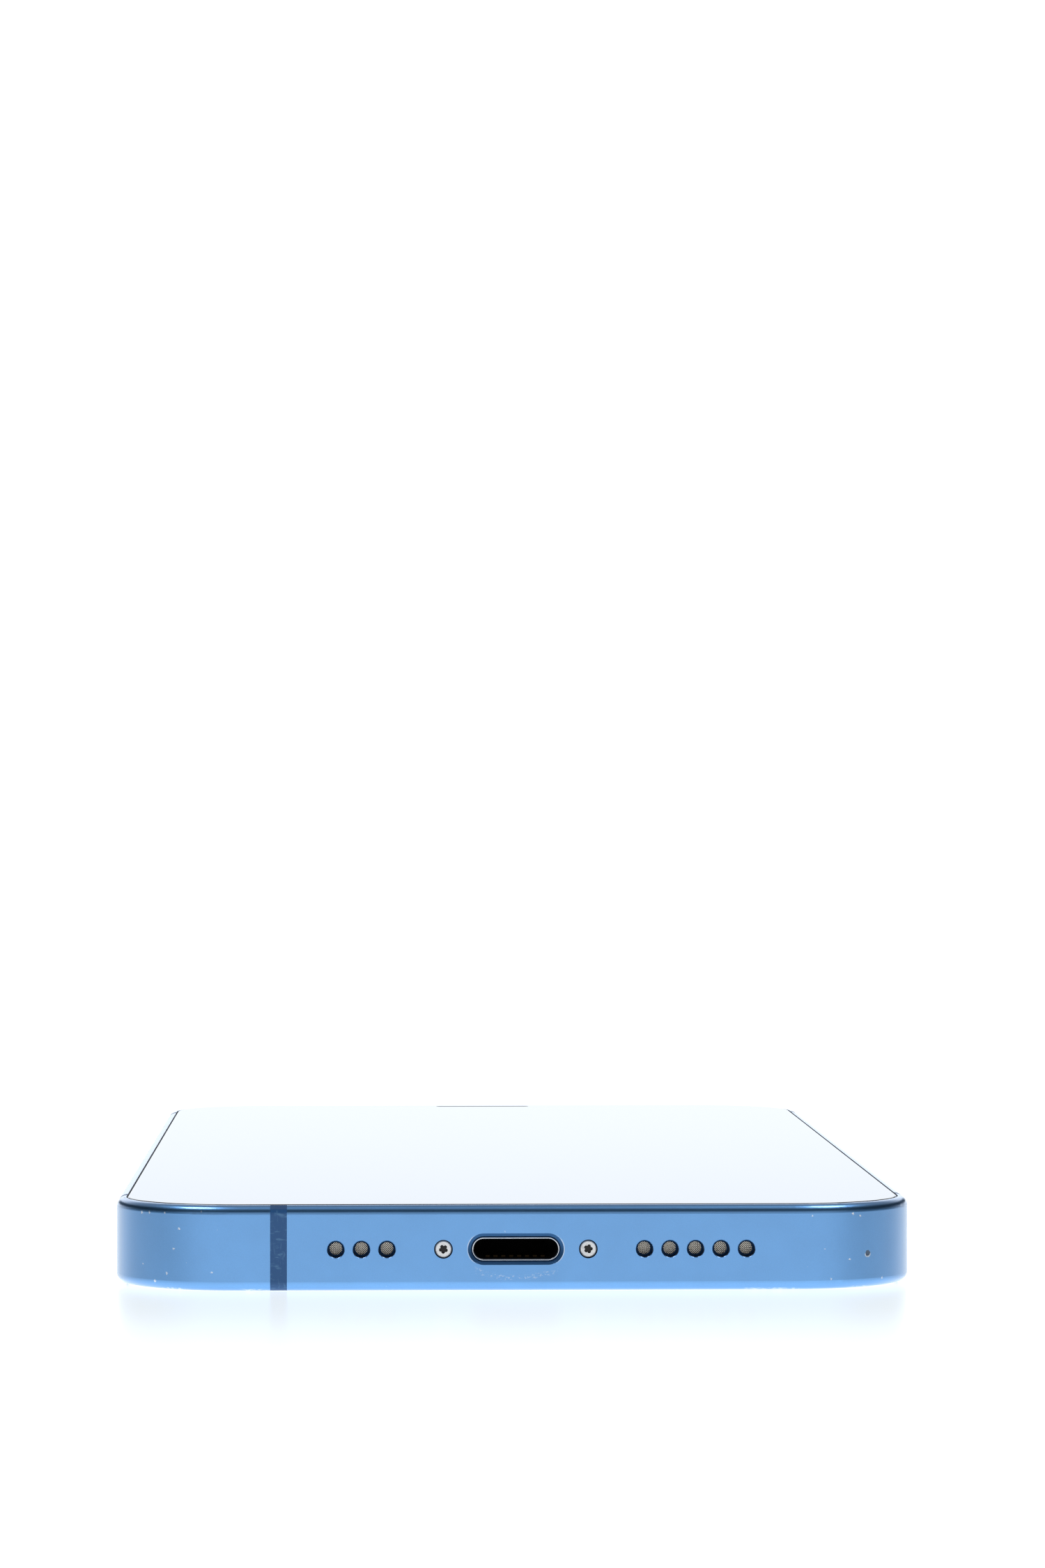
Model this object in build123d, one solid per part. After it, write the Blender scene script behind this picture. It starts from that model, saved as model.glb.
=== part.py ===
"""A flat-sided smartphone as an assembly of separate pieces, in millimetres.

+X is the user's right as they read the display, +Y runs towards the phone's top edge and +Z comes
out of the display. The origin is the middle of the back glass's outer face. Each piece of the
phone is one function, and the table at the end of the file writes each to its own STEP file.
"""

import os
from math import cos, radians, sin

from build123d import *

# ---- Overall size ------------------------------------------------------------------------------
WIDTH = 71.5
LENGTH = 146.7
THICKNESS = 7.65
CORNER_R = 11.0  # corners of the outline, seen from the front
AXIS_DROP = 0.1  # the line of the port, screws and sound holes, below the middle

# ---- Metal band --------------------------------------------------------------------------------
EDGE_R = 0.8  # round along the band's outer edges
RIM = 0.85  # metal that shows around each glass
WALL = 2.6  # full thickness of the band's side wall
MIDPLATE_T = 0.5
BREAK_W = 1.48  # width of a plastic antenna break
BREAK_FROM_SIDE = 14.77  # break in the bottom and top walls, from the phone's side
SIDE_BREAK_FROM_END = 13.25  # breaks in the side walls, from the phone's end
LINING_W = 1.0  # plastic strip inside the wall that joins the breaks of one end

# ---- Glasses and display -----------------------------------------------------------------------
GLASS_PROUD = 0.05  # both glasses stand this far out of the band
GLASS_GAP = 0.1  # groove between a glass and the rim
FRONT_GLASS_T = 0.75
BACK_GLASS_T = 0.6
GLASS_EDGE_R = 0.2  # rounded outer edge of each glass
SEAL_T = 0.1  # gasket under the front glass
SEAL_SINK = 0.07  # gasket's top, below the band's top
SEAL_BACK = 0.1  # gasket's inner edge, short of the wall's inner face
PANEL_T = 0.9
PANEL_CLEAR = 0.1  # display frame to the panel's edge
PANEL_SHIELD_T = 0.2
PANEL_SHIELD_INSET = 0.4  # steel sheet, inside the panel's edge
FRAME_W = 0.6  # plastic frame bonded under the front glass
FRAME_CLEAR = 0.1  # frame to the wall's inner face
THREAD_CLEAR = 0.02
THREAD_SHORT = 0.1  # screw's tip, short of its tab's far face
FRAME_TAB = (3.0, 1.2, 2.4)  # drilled tab for each bottom screw, along X, Y and Z
NOTCH_W = 35.0
NOTCH_H = 5.2
NOTCH_R = 2.0
EARPIECE_W = 10.6
EARPIECE_H = 0.8
EARPIECE_CAN = (13.0, 5.6, 2.6)
SENSOR_ROW_Y = 2.4  # front sensors' centres, below the earpiece slot
SENSOR_LIFT = 0.55  # midplate to the front sensors' backs
SNOUT_H = 1.2
FRONT_CAMERA_X = 9.6
FRONT_CAMERA_R = 1.7
SENSOR_SHOULDER = 0.4  # sensor's base around its snout
BRACKET_HALF = 2.3
FACE_SENSORS = [(-13.6, 1.6), (-9.2, 1.1), (14.4, 1.5)]  # x and radius of each snout

# ---- Bottom end: sound holes, port and screws --------------------------------------------------
HOLE_PITCH = 2.26
HOLE_FROM_SCREW = 4.99  # first hole of each row, from the screw beside it
MIC_HOLES = 3
SPEAKER_HOLES = 5
HOLE_D = 1.5
HOLE_DEPTH = 1.0
THROAT_D = 1.12
HOLE_CHAMFER = 0.05
MESH_DEPTH = 1.35  # outer face to mesh
MESH_T = 0.1
MESH_H = 2.4
PORT_W = 7.5
PORT_H = 1.8
PORT_DEPTH = 7.0
PORT_SHELL_T = 0.15
PORT_RECESS = 0.25
PORT_CHAMFER = 0.3
CONTACT_COUNT = 8
CONTACT_PITCH = 0.7
CONTACT = (0.36, 3.4, 0.16)  # along X, Y and Z
CONTACT_FROM_MOUTH = 2.2
PORT_END_T = 0.4  # steel cup's closed end
HOUSING_BACK = 1.0  # housing behind the cup
HOUSING_TOP = 0.4  # housing over the cup
SCREW_FROM_PORT = 2.66  # screw's axis, from the side of the port's opening
SCREW_HEAD_D = 1.5
SCREW_HEAD_T = 0.5
SCREW_HOLE_D = 1.66
SCREW_SINK = 0.1
SCREW_D = 1.0
LOBES = 5  # tamper-resistant screw recess
LOBE_RING_R = 0.24
LOBE_R = 0.16
RECESS_DEPTH = 0.3
FIRST_LOBES = (95, 70)  # degrees, of the left and the right screw

# ---- Side controls -----------------------------------------------------------------------------
BUTTON_H = 2.9
BUTTON_PROUD = 0.5
BUTTON_DEPTH = 1.15  # cap below the side face
BUTTON_TRAVEL = 0.25
BUTTON_CLEAR = 0.1
POST_D = 1.2
POST_PROUD = 0.15  # post past the wall's inner face
SWITCH_T = 0.4
VOLUME_LENGTH = 10.3
VOLUME_UP_FROM_TOP = 41.15
VOLUME_DOWN_FROM_TOP = 53.95
SIDE_BUTTON_LENGTH = 17.5
SIDE_BUTTON_FROM_TOP = 45.95
RING_FROM_TOP = 27.45
RING_HEAD = (5.6, 1.6)  # along the phone, through its thickness
RING_RECESS = (6.6, 3.0)
RING_DEPTH = 1.0
RING_TRAVEL = 1.1
RING_STEM = (1.8, 1.0)
RING_SLOT = (2.4, 2.6)
RING_PROUD = 0.45

# ---- Card tray ---------------------------------------------------------------------------------
TRAY_FROM_TOP = 80.0
TRAY_PLATE = (15.0, 2.0)
TRAY_PLATE_T = 1.1
TRAY_CLEAR = 0.1
TRAY_RECESS_DEPTH = 1.3
TRAY_BODY_T = 1.0
TRAY_BODY_SHIFT = 1.4  # body centre from the plate's centre
TRAY_FRAME_W = 1.2  # tray's frame around the card
TRAY_FRAME_END = 2.2
TRAY_LEDGE = 0.9  # ledge of the frame under the card
CARD = (12.3, 8.8, 0.67)
CARD_CORNER = 1.65
CARD_CLEAR = 0.05
CARD_FROM_PLATE = 1.65
EJECT_D = 0.85
EJECT_FROM_END = 1.4  # eject hole, from the end of the tray's plate
READER_WALL = 0.2
EJECT_ROD = (1.0, 0.8)  # width and thickness
EJECT_ROD_CLEAR = 0.2  # wall to the rod
EJECT_TRAVEL = 2.0

# ---- Rear camera -------------------------------------------------------------------------------
BUMP = 29.0
BUMP_R = 8.0
BUMP_H = 0.7
BUMP_MARGIN = 4.3  # phone's outline to the bump
BUMP_EDGE_R = 0.3
LENS_OFFSET = 7.0  # lenses and flash from the bump's centre
RING_H = 0.8
RING_BORE_CLEAR = 0.5  # lens barrel to the ring's bore
RING_NECK_T = 0.9
RING_LIP = 0.9  # ring's metal around its cover
COVER_LEDGE = 0.7  # ring's ledge under the cover
COVER_T = 0.5
COVER_SINK = 0.15
CAMERA_SIDE = 10.4
BARREL_D = 8.0
BARREL_CLEAR = 0.2
FOCUS_TRAVEL = 0.3
LENS_D = 5.0
LENS_DOME = 0.35
LENS_T = 0.6
LENS_SETBACK = 0.25  # barrel's front edge to the top of the dome
COVER_GAP = 0.2  # barrel, at the end of its travel, to the cover
SENSOR_ROOM = 1.2  # image sensor behind the barrel
FLASH_D = 5.6
REAR_MIC_D = 0.9
FIT = 0.05  # a piece in its hole or seat

# ---- Inside ------------------------------------------------------------------------------------
COIL_BAY = 0.75  # back glass to midplate
MAGNET_RING = (27.0, 23.0)  # outer and inner radius
MAGNET_COUNT = 18
MAGNET_GAP_DEG = 2.5
COIL_RING = (22.0, 10.5)
COIL_TURNS = 5
COIL_T = 0.5
FERRITE_T = 0.15
BAY_CLEAR = 0.25
PART_CLEAR = 0.4  # between neighbouring inner parts
BOARD_W = 23.3
BOARD_T = 0.7
BOARD_LIFT = 0.35
BOARD_BOTTOM_FROM_END = 31.3
ARM_CLEAR = 1.75  # board's arm to the flash
SHIELD_H = 1.6
SHEET_T = 0.15  # steel cans, covers and brackets
FLEX_T = 0.05
BATTERY_BOND_T = 0.1  # pull strips between the battery and the midplate
BOTTOM_BAY = 23.0  # from the bottom end's inner face to the top of its parts
HAPTIC_LONG = 11.5  # along Y
HAPTIC_FROM_SIDE = 5.84  # side wall to the motor's case
HAPTIC_WALL = 0.3
HAPTIC_TRAVEL = 0.4
SPRING_ROOM = 0.35
SPEAKER_LONG = 18.0  # along Y
SPEAKER_FROM_SIDE = 4.24  # side wall to the speaker's box
SPEAKER_WALL = 0.4
SPEAKER_FROM_END = 1.6
SNOUT_GAP = 0.4  # mesh to the speaker's and microphone's snouts
SNOUT_REACH = 0.9  # snout past the outermost hole's axis
SNOUT_WALL = 0.3
MIC_LONG = 2.7  # microphone, past its snout's face

# ---- Levels and places worked out from the sizes above ------------------------------------------
BAND_LOW = GLASS_PROUD
BAND_HIGH = THICKNESS - GLASS_PROUD
BACK_SEAT = BACK_GLASS_T
FRONT_GLASS_LOW = THICKNESS - FRONT_GLASS_T
FRONT_SEAT = FRONT_GLASS_LOW - SEAL_T
AXIS_Z = THICKNESS / 2 - AXIS_DROP
MID_LOW = BACK_SEAT + COIL_BAY
MID_HIGH = MID_LOW + MIDPLATE_T
PANEL_LOW = FRONT_GLASS_LOW - PANEL_T
SHIELD_LOW = PANEL_LOW - PANEL_SHIELD_T
BAY_HIGH = SHIELD_LOW - BAY_CLEAR
INNER_X = WIDTH / 2 - WALL
INNER_Y = LENGTH / 2 - WALL
END_Y = -LENGTH / 2
GLASS_INSET = RIM + GLASS_GAP
BUMP_X = WIDTH / 2 - BUMP_MARGIN - BUMP / 2
BUMP_Y = LENGTH / 2 - BUMP_MARGIN - BUMP / 2
LENS_X = BUMP_X + LENS_OFFSET
FLASH_X = BUMP_X - LENS_OFFSET
WIDE_Y = BUMP_Y + LENS_OFFSET
ULTRAWIDE_Y = BUMP_Y - LENS_OFFSET
SCREW_X = PORT_W / 2 + SCREW_FROM_PORT
SCREW_LENGTH = WALL + FRAME_CLEAR + FRAME_TAB[1] - SCREW_SINK - THREAD_SHORT
FIRST_HOLE_X = SCREW_X + HOLE_FROM_SCREW
MIC_XS = [-FIRST_HOLE_X - i * HOLE_PITCH for i in range(MIC_HOLES)]
SPEAKER_XS = [FIRST_HOLE_X + i * HOLE_PITCH for i in range(SPEAKER_HOLES)]
EARPIECE_Y = INNER_Y - FIT - EARPIECE_H / 2
SENSOR_LOW = MID_HIGH + SENSOR_LIFT
PANEL_INSET = WALL + FRAME_CLEAR + FRAME_W + PANEL_CLEAR
BREAK_X = WIDTH / 2 - BREAK_FROM_SIDE
SIDE_BREAK_Y = LENGTH / 2 - SIDE_BREAK_FROM_END
VOLUME_UP_Y = LENGTH / 2 - VOLUME_UP_FROM_TOP
VOLUME_DOWN_Y = LENGTH / 2 - VOLUME_DOWN_FROM_TOP
SIDE_BUTTON_Y = LENGTH / 2 - SIDE_BUTTON_FROM_TOP
RING_Y = LENGTH / 2 - RING_FROM_TOP
TRAY_Y = LENGTH / 2 - TRAY_FROM_TOP
EJECT_Y = TRAY_Y - TRAY_PLATE[0] / 2 + EJECT_FROM_END
TRAY_BODY_W = CARD[1] + 2 * TRAY_FRAME_W
TRAY_BODY_LONG = CARD_FROM_PLATE + CARD[0] + TRAY_FRAME_END
RING_BORE_D = BARREL_D + 2 * RING_BORE_CLEAR
RING_NECK_D = RING_BORE_D + 2 * RING_NECK_T
COVER_D = RING_BORE_D + 2 * COVER_LEDGE
RING_OD = COVER_D + 2 * RING_LIP
BOARD_X0 = -INNER_X + 1.35
BOARD_X1 = BOARD_X0 + BOARD_W
BOARD_Y0 = END_Y + BOARD_BOTTOM_FROM_END
BOARD_Y1 = INNER_Y - 8.5
BOARD_LOW = MID_HIGH + BOARD_LIFT
BOARD_HIGH = BOARD_LOW + BOARD_T
CAMERA_BAY_Y0 = ULTRAWIDE_Y - CAMERA_SIDE / 2 - 1.0
BARREL_FRONT = -BUMP_H - RING_H + COVER_SINK + COVER_T + COVER_GAP + FOCUS_TRAVEL
ARM_X1 = FLASH_X - FLASH_D / 2 - ARM_CLEAR
ARM_Y0 = CAMERA_BAY_Y0 + 1.0
SNOUT_Y0 = END_Y + MESH_DEPTH + MESH_T + SNOUT_GAP
BODY_Y = TRAY_Y + TRAY_BODY_SHIFT
RING_REST_Z = AXIS_Z + RING_TRAVEL / 2


# ---- Shared shapes -----------------------------------------------------------------------------
def outline(inset):
    """The phone's rounded outline, moved in by inset."""
    return RectangleRounded(WIDTH - 2 * inset, LENGTH - 2 * inset, CORNER_R - inset)


def plate(inset, z0, z1):
    return extrude(Pos(0, 0, z0) * outline(inset), amount=z1 - z0)


def ring(outer, inner, z0, z1):
    return plate(outer, z0, z1) - plate(inner, z0, z1)


def block(x, y, z):
    """A box from its low and high values along each axis."""
    middle = Pos((x[0] + x[1]) / 2, (y[0] + y[1]) / 2, (z[0] + z[1]) / 2)
    return middle * Box(x[1] - x[0], y[1] - y[0], z[1] - z[0])


def soft_block(x, y, z, radius):
    """A box whose four upright edges are rounded."""
    face = RectangleRounded(x[1] - x[0], y[1] - y[0], radius)
    return along_z(face, (x[0] + x[1]) / 2, (y[0] + y[1]) / 2, z[0], z[1])


def shrink(span, by):
    return (span[0] + by, span[1] - by)


def along_x(face, y, z, x0, x1):
    plane = Plane(origin=(x0, y, z), x_dir=(0, 1, 0), z_dir=(1, 0, 0))
    return extrude(plane * face, amount=x1 - x0)


def along_y(face, x, z, y0, y1, taper=0):
    plane = Plane(origin=(x, y0, z), x_dir=(1, 0, 0), z_dir=(0, 1, 0))
    return extrude(plane * face, amount=y1 - y0, taper=taper)


def along_z(face, x, y, z0, z1):
    return extrude(Pos(x, y, z0) * face, amount=z1 - z0)


def from_side(face, side, y, z, deep0, deep1):
    """A prism into the left (-1) or right (+1) side, between two depths below the side face."""
    ends = sorted(side * (WIDTH / 2 - deep) for deep in (deep0, deep1))
    return along_x(face, y, z, *ends)


def beyond(y_from):
    """A block that holds all of the phone past y_from, towards the bottom end (top if positive)."""
    far = LENGTH if y_from > 0 else -LENGTH
    return block((-WIDTH, WIDTH), sorted((y_from, far)), (-THICKNESS, 2 * THICKNESS))


def between_x(x0, x1):
    return block((x0, x1), (-LENGTH, LENGTH), (-THICKNESS, 2 * THICKNESS))


# ---- Metal band and its plastic breaks ---------------------------------------------------------
def sound_holes():
    """Stepped holes for the microphone and the loudspeaker, with a pocket behind each row."""
    face, step, mesh = END_Y, END_Y + HOLE_DEPTH, END_Y + MESH_DEPTH
    cut = []
    for x in MIC_XS + SPEAKER_XS:
        cut.append(along_y(Circle(HOLE_D / 2), x, AXIS_Z, face, step))
        rim = Circle(HOLE_D / 2 + HOLE_CHAMFER)
        cut.append(along_y(rim, x, AXIS_Z, face, face + HOLE_CHAMFER, taper=45))
        cut.append(along_y(Circle(THROAT_D / 2), x, AXIS_Z, face, mesh))
    for xs in (MIC_XS, SPEAKER_XS):
        span = (min(xs) - THROAT_D, max(xs) + THROAT_D)
        cut.append(block(span, (mesh, -INNER_Y), (AXIS_Z - MESH_H / 2, AXIS_Z + MESH_H / 2)))
    return cut


def port_hole():
    """The charging port's hole, chamfered at the outer face."""
    grow = 2 * (PORT_SHELL_T + FIT)
    wide, high = PORT_W + grow, PORT_H + grow
    hole = along_y(SlotOverall(wide, high), 0, AXIS_Z, END_Y, -INNER_Y)
    mouth = SlotOverall(wide + 2 * PORT_CHAMFER, high + 2 * PORT_CHAMFER)
    return [hole, along_y(mouth, 0, AXIS_Z, END_Y, END_Y + PORT_CHAMFER, taper=45)]


def screw_holes():
    cut = []
    for x in (-SCREW_X, SCREW_X):
        seat = END_Y + SCREW_SINK + SCREW_HEAD_T
        cut.append(along_y(Circle(SCREW_HOLE_D / 2), x, AXIS_Z, END_Y, seat))
        cut.append(along_y(Circle(SCREW_D / 2 + FIT), x, AXIS_Z, seat, -INNER_Y))
    return cut


def button_holes(side, y, length):
    """A pocket for a button's cap, and a hole for each of its posts."""
    floor = BUTTON_DEPTH + BUTTON_TRAVEL + BUTTON_CLEAR
    face = SlotOverall(length + 2 * BUTTON_CLEAR, BUTTON_H + 2 * BUTTON_CLEAR)
    cut = [from_side(face, side, y, AXIS_Z, -1, floor)]
    for post_y in post_places(y, length):
        cut.append(from_side(Circle(POST_D / 2 + BUTTON_CLEAR), side, post_y, AXIS_Z, 0, WALL))
    return cut


def post_places(y, length):
    return [y + way * (length / 2 - BUTTON_H / 2 - POST_D / 2) for way in (-1, 1)]


def ring_switch_holes():
    recess = from_side(SlotOverall(*RING_RECESS), -1, RING_Y, AXIS_Z, -1, RING_DEPTH)
    slot = from_side(Rectangle(*RING_SLOT), -1, RING_Y, AXIS_Z, 0, WALL)
    return [recess, slot]


def tray_holes():
    grow = 2 * TRAY_CLEAR
    mouth = SlotOverall(TRAY_PLATE[0] + grow, TRAY_PLATE[1] + grow)
    throat = Rectangle(TRAY_BODY_W + 2 * grow, TRAY_BODY_T + 2 * grow)
    return [
        from_side(mouth, -1, TRAY_Y, AXIS_Z, -1, TRAY_RECESS_DEPTH),
        from_side(throat, -1, BODY_Y, AXIS_Z, 0, WALL),
        from_side(Circle(EJECT_D / 2), -1, EJECT_Y, AXIS_Z, 0, WALL),
    ]


def whole_band():
    """The metal band before it is divided, with every opening in its wall."""
    band = plate(0, BAND_LOW, BAND_HIGH)
    by_height = band.faces().sort_by(Axis.Z)
    band = fillet(by_height[0].edges() + by_height[-1].edges(), EDGE_R)
    band -= plate(WALL, BAND_LOW, BAND_HIGH)
    band -= plate(RIM, BAND_LOW, BACK_SEAT)
    band -= plate(RIM, FRONT_SEAT, BAND_HIGH)
    band -= sound_holes() + port_hole() + screw_holes()
    band -= button_holes(-1, VOLUME_UP_Y, VOLUME_LENGTH)
    band -= button_holes(-1, VOLUME_DOWN_Y, VOLUME_LENGTH)
    band -= button_holes(1, SIDE_BUTTON_Y, SIDE_BUTTON_LENGTH)
    return band - (ring_switch_holes() + tray_holes())


BAND = whole_band()
HALF_BREAK = BREAK_W / 2
PAST_BREAK = SIDE_BREAK_Y + HALF_BREAK
BEFORE_BREAK = SIDE_BREAK_Y - HALF_BREAK


def bottom_band():
    """The bottom wall from its break to the right side, with the port, screws and sound holes."""
    return BAND & beyond(-PAST_BREAK) & between_x(-BREAK_X + HALF_BREAK, WIDTH)


def bottom_corner_band():
    return BAND & beyond(-PAST_BREAK) & between_x(-WIDTH, -BREAK_X - HALF_BREAK)


def top_band():
    return BAND & beyond(PAST_BREAK) & between_x(-WIDTH, BREAK_X - HALF_BREAK)


def top_corner_band():
    return BAND & beyond(PAST_BREAK) & between_x(BREAK_X + HALF_BREAK, WIDTH)


def antenna_insert(end):
    """The three plastic breaks of one end (-1 bottom, +1 top) and the lining that joins them."""
    sides = BAND & beyond(end * BEFORE_BREAK)
    sides -= beyond(end * PAST_BREAK)
    x = end * BREAK_X
    crossing = BAND & beyond(end * PAST_BREAK) & between_x(x - HALF_BREAK, x + HALF_BREAK)
    lining = ring(WALL, WALL + LINING_W, MID_LOW, MID_HIGH) & beyond(end * BEFORE_BREAK)
    return sides + crossing + lining


def midplate():
    """The plate that carries the inner parts, open under the rear cameras."""
    middle = plate(WALL, MID_LOW, MID_HIGH)
    middle -= beyond(BEFORE_BREAK)
    middle -= beyond(-BEFORE_BREAK)
    sheet = middle + plate(WALL + LINING_W, MID_LOW, MID_HIGH)
    half = CAMERA_SIDE / 2 + PART_CLEAR
    eye = soft_block(
        (FLASH_X - FLASH_D / 2 - PART_CLEAR, LENS_X + half),
        (ULTRAWIDE_Y - half, WIDE_Y + half),
        (MID_LOW, MID_HIGH),
        1.5,
    )
    return sheet - eye


def chassis():
    """Left and right side walls, the midplate between them and the bosses for the board."""
    rails = BAND - [beyond(BEFORE_BREAK), beyond(-BEFORE_BREAK)]
    body = rails + midplate()
    for x, y in board_screw_places():
        body += along_z(Circle(1.5), x, y, MID_HIGH, BOARD_LOW)
    for x, y in board_screw_places():
        body -= along_z(Circle(0.5 + FIT), x, y, MID_LOW, BOARD_LOW)
    return body


def board_screw_places():
    edge = 2.0
    xs = (BOARD_X0 + edge, BOARD_X1 - edge)
    return [(x, y) for x in xs for y in (BOARD_Y0 + edge, BOARD_Y1 - edge)]


# ---- Back glass, camera trim -------------------------------------------------------------------
def back_glass():
    """The back glass with the raised camera bump that is milled from the same sheet."""
    sheet = plate(GLASS_INSET, 0, BACK_GLASS_T)
    sheet = fillet(sheet.faces().sort_by(Axis.Z)[0].edges(), GLASS_EDGE_R)
    bump = along_z(RectangleRounded(BUMP, BUMP, BUMP_R), BUMP_X, BUMP_Y, -BUMP_H, BACK_GLASS_T)
    bump = fillet(bump.faces().sort_by(Axis.Z)[0].edges(), BUMP_EDGE_R)
    glass = sheet + bump
    cut = [
        along_z(Circle(RING_NECK_D / 2 + FIT), LENS_X, y, -BUMP_H, BACK_GLASS_T)
        for y in (WIDE_Y, ULTRAWIDE_Y)
    ]
    cut.append(along_z(Circle(FLASH_D / 2 + FIT), FLASH_X, WIDE_Y, -BUMP_H, BACK_GLASS_T))
    cut.append(along_z(Circle(REAR_MIC_D / 2), FLASH_X, BUMP_Y, -BUMP_H, BACK_GLASS_T))
    return glass - cut


def lens_ring(y):
    """A metal ring on the bump that holds one lens cover, with a neck through the glass."""
    top = -BUMP_H - RING_H
    flange = along_z(Circle(RING_OD / 2), LENS_X, y, top, -BUMP_H)
    flange = fillet(flange.faces().sort_by(Axis.Z)[0].edges(), 0.2)
    neck = along_z(Circle(RING_NECK_D / 2), LENS_X, y, -BUMP_H, BACK_SEAT)
    bore = along_z(Circle(RING_BORE_D / 2), LENS_X, y, top, BACK_SEAT)
    seat = along_z(Circle(COVER_D / 2 + FIT), LENS_X, y, top, top + COVER_SINK + COVER_T)
    return flange + neck - [bore, seat]


def lens_cover(y):
    low = -BUMP_H - RING_H + COVER_SINK
    return along_z(Circle(COVER_D / 2), LENS_X, y, low, low + COVER_T)


def both_lenses(make):
    """The same piece made for each rear camera."""
    return Compound([make(y) for y in (WIDE_Y, ULTRAWIDE_Y)])


def flash_window():
    return along_z(Circle(FLASH_D / 2), FLASH_X, WIDE_Y, -BUMP_H + FIT, BACK_GLASS_T)


# ---- Rear cameras and flash --------------------------------------------------------------------
def camera_housing(y):
    """A camera module's metal case, bored for its lens barrel."""
    half = CAMERA_SIDE / 2
    low = BACK_SEAT + FIT
    case = soft_block((LENS_X - half, LENS_X + half), (y - half, y + half), (low, BAY_HIGH), 0.8)
    bore_top = BAY_HIGH - SENSOR_ROOM
    return case - along_z(Circle(BARREL_D / 2 + BARREL_CLEAR), LENS_X, y, low, bore_top)


def lens_barrel(y):
    """The black barrel, with a stepped cone in front that leads to the first lens."""
    front = BARREL_FRONT
    back = BAY_HIGH - SENSOR_ROOM - BARREL_CLEAR
    barrel = along_z(Circle(BARREL_D / 2), LENS_X, y, front, back)
    lens_seat = front + LENS_SETBACK + LENS_DOME
    mouth = Pos(LENS_X, y, (front + lens_seat) / 2) * Cone(
        BARREL_D / 2 - 0.4, LENS_D / 2 + FIT, lens_seat - front
    )
    seat = along_z(Circle(LENS_D / 2 + FIT), LENS_X, y, lens_seat, lens_seat + LENS_T)
    return barrel - [mouth, seat]


def front_lens(y):
    """The first lens: a disc with a domed front."""
    seat = BARREL_FRONT + LENS_SETBACK + LENS_DOME
    radius = LENS_D / 2
    ball_r = (radius**2 + LENS_DOME**2) / (2 * LENS_DOME)
    ball = Pos(LENS_X, y, seat - LENS_DOME + ball_r) * Sphere(ball_r)
    dome = ball & along_z(Circle(radius), LENS_X, y, seat - LENS_DOME - 0.1, seat)
    return dome + along_z(Circle(radius), LENS_X, y, seat, seat + LENS_T)


def camera_bracket():
    """The thin steel tray that ties both cameras together over their backs."""
    half = CAMERA_SIDE / 2 + 0.2
    x = (LENS_X - half, LENS_X + half)
    tray = soft_block(x, (ULTRAWIDE_Y - half, WIDE_Y + half), (BAY_HIGH, BAY_HIGH + 0.15), 1.0)
    gap = WIDE_Y - ULTRAWIDE_Y - CAMERA_SIDE
    bridge = (BUMP_Y - gap / 2 + 0.3, BUMP_Y + gap / 2 - 0.3)
    return tray + block((LENS_X - 3, LENS_X + 3), bridge, (MID_HIGH + 1, BAY_HIGH))


def flash_module():
    """The flash lamp's small board, with its two lamps under the window."""
    r = FLASH_D / 2
    board = along_z(Circle(r), FLASH_X, WIDE_Y, BACK_GLASS_T + 0.4, BACK_GLASS_T + 0.8)
    for way in (-1, 1):
        x = FLASH_X + way * 1.0
        lamp = ((x - 0.7, x + 0.7), (WIDE_Y - 0.9, WIDE_Y + 0.9))
        board += block(*lamp, (BACK_GLASS_T + 0.05, BACK_GLASS_T + 0.4))
    return board


# ---- Charging coil and magnets -----------------------------------------------------------------
def charging_coil():
    """Flat copper turns on the inside of the back glass."""
    outer, inner = COIL_RING
    step = (outer - inner) / COIL_TURNS
    low = BACK_GLASS_T
    coil = along_z(Circle(outer), 0, 0, low, low + 0.1) - along_z(Circle(inner), 0, 0, low, low + 0.1)
    for turn in range(COIL_TURNS):
        r = outer - turn * step
        wire = along_z(Circle(r), 0, 0, low, low + COIL_T)
        coil += wire - along_z(Circle(r - 0.8 * step), 0, 0, low, low + COIL_T)
    return coil


def ferrite_sheet():
    low = BACK_GLASS_T + COIL_T
    return along_z(Circle(COIL_RING[0]), 0, 0, low, low + FERRITE_T)


def magnet_ring():
    """A ring of separate magnets around the coil."""
    outer, inner = MAGNET_RING
    low, high = BACK_GLASS_T, MID_LOW - FIT
    hoop = along_z(Circle(outer), 0, 0, low, high) - along_z(Circle(inner), 0, 0, low, high)
    half_gap = outer * sin(radians(MAGNET_GAP_DEG / 2))
    cuts = []
    for i in range(MAGNET_COUNT):
        spoke = block((0, outer + 1), (-half_gap, half_gap), (low, high))
        cuts.append(Rot(0, 0, i * 360 / MAGNET_COUNT) * spoke)
    return hoop - cuts


# ---- Display assembly --------------------------------------------------------------------------
def earpiece_slot(z0, z1):
    return along_z(SlotOverall(EARPIECE_W, EARPIECE_H), 0, EARPIECE_Y, z0, z1)


def front_glass():
    """The cover glass, with the earpiece slot near its top edge."""
    glass = plate(GLASS_INSET, FRONT_GLASS_LOW, THICKNESS)
    glass = fillet(glass.faces().sort_by(Axis.Z)[-1].edges(), GLASS_EDGE_R)
    return glass - earpiece_slot(FRONT_GLASS_LOW, THICKNESS)


def display_gasket():
    """The black seal: a flat seat under the glass and an upstand in the groove around it."""
    seat = ring(RIM, WALL - SEAL_BACK, FRONT_SEAT, FRONT_GLASS_LOW)
    upstand = ring(RIM, GLASS_INSET, FRONT_SEAT, BAND_HIGH - SEAL_SINK)
    return seat + upstand


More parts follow.
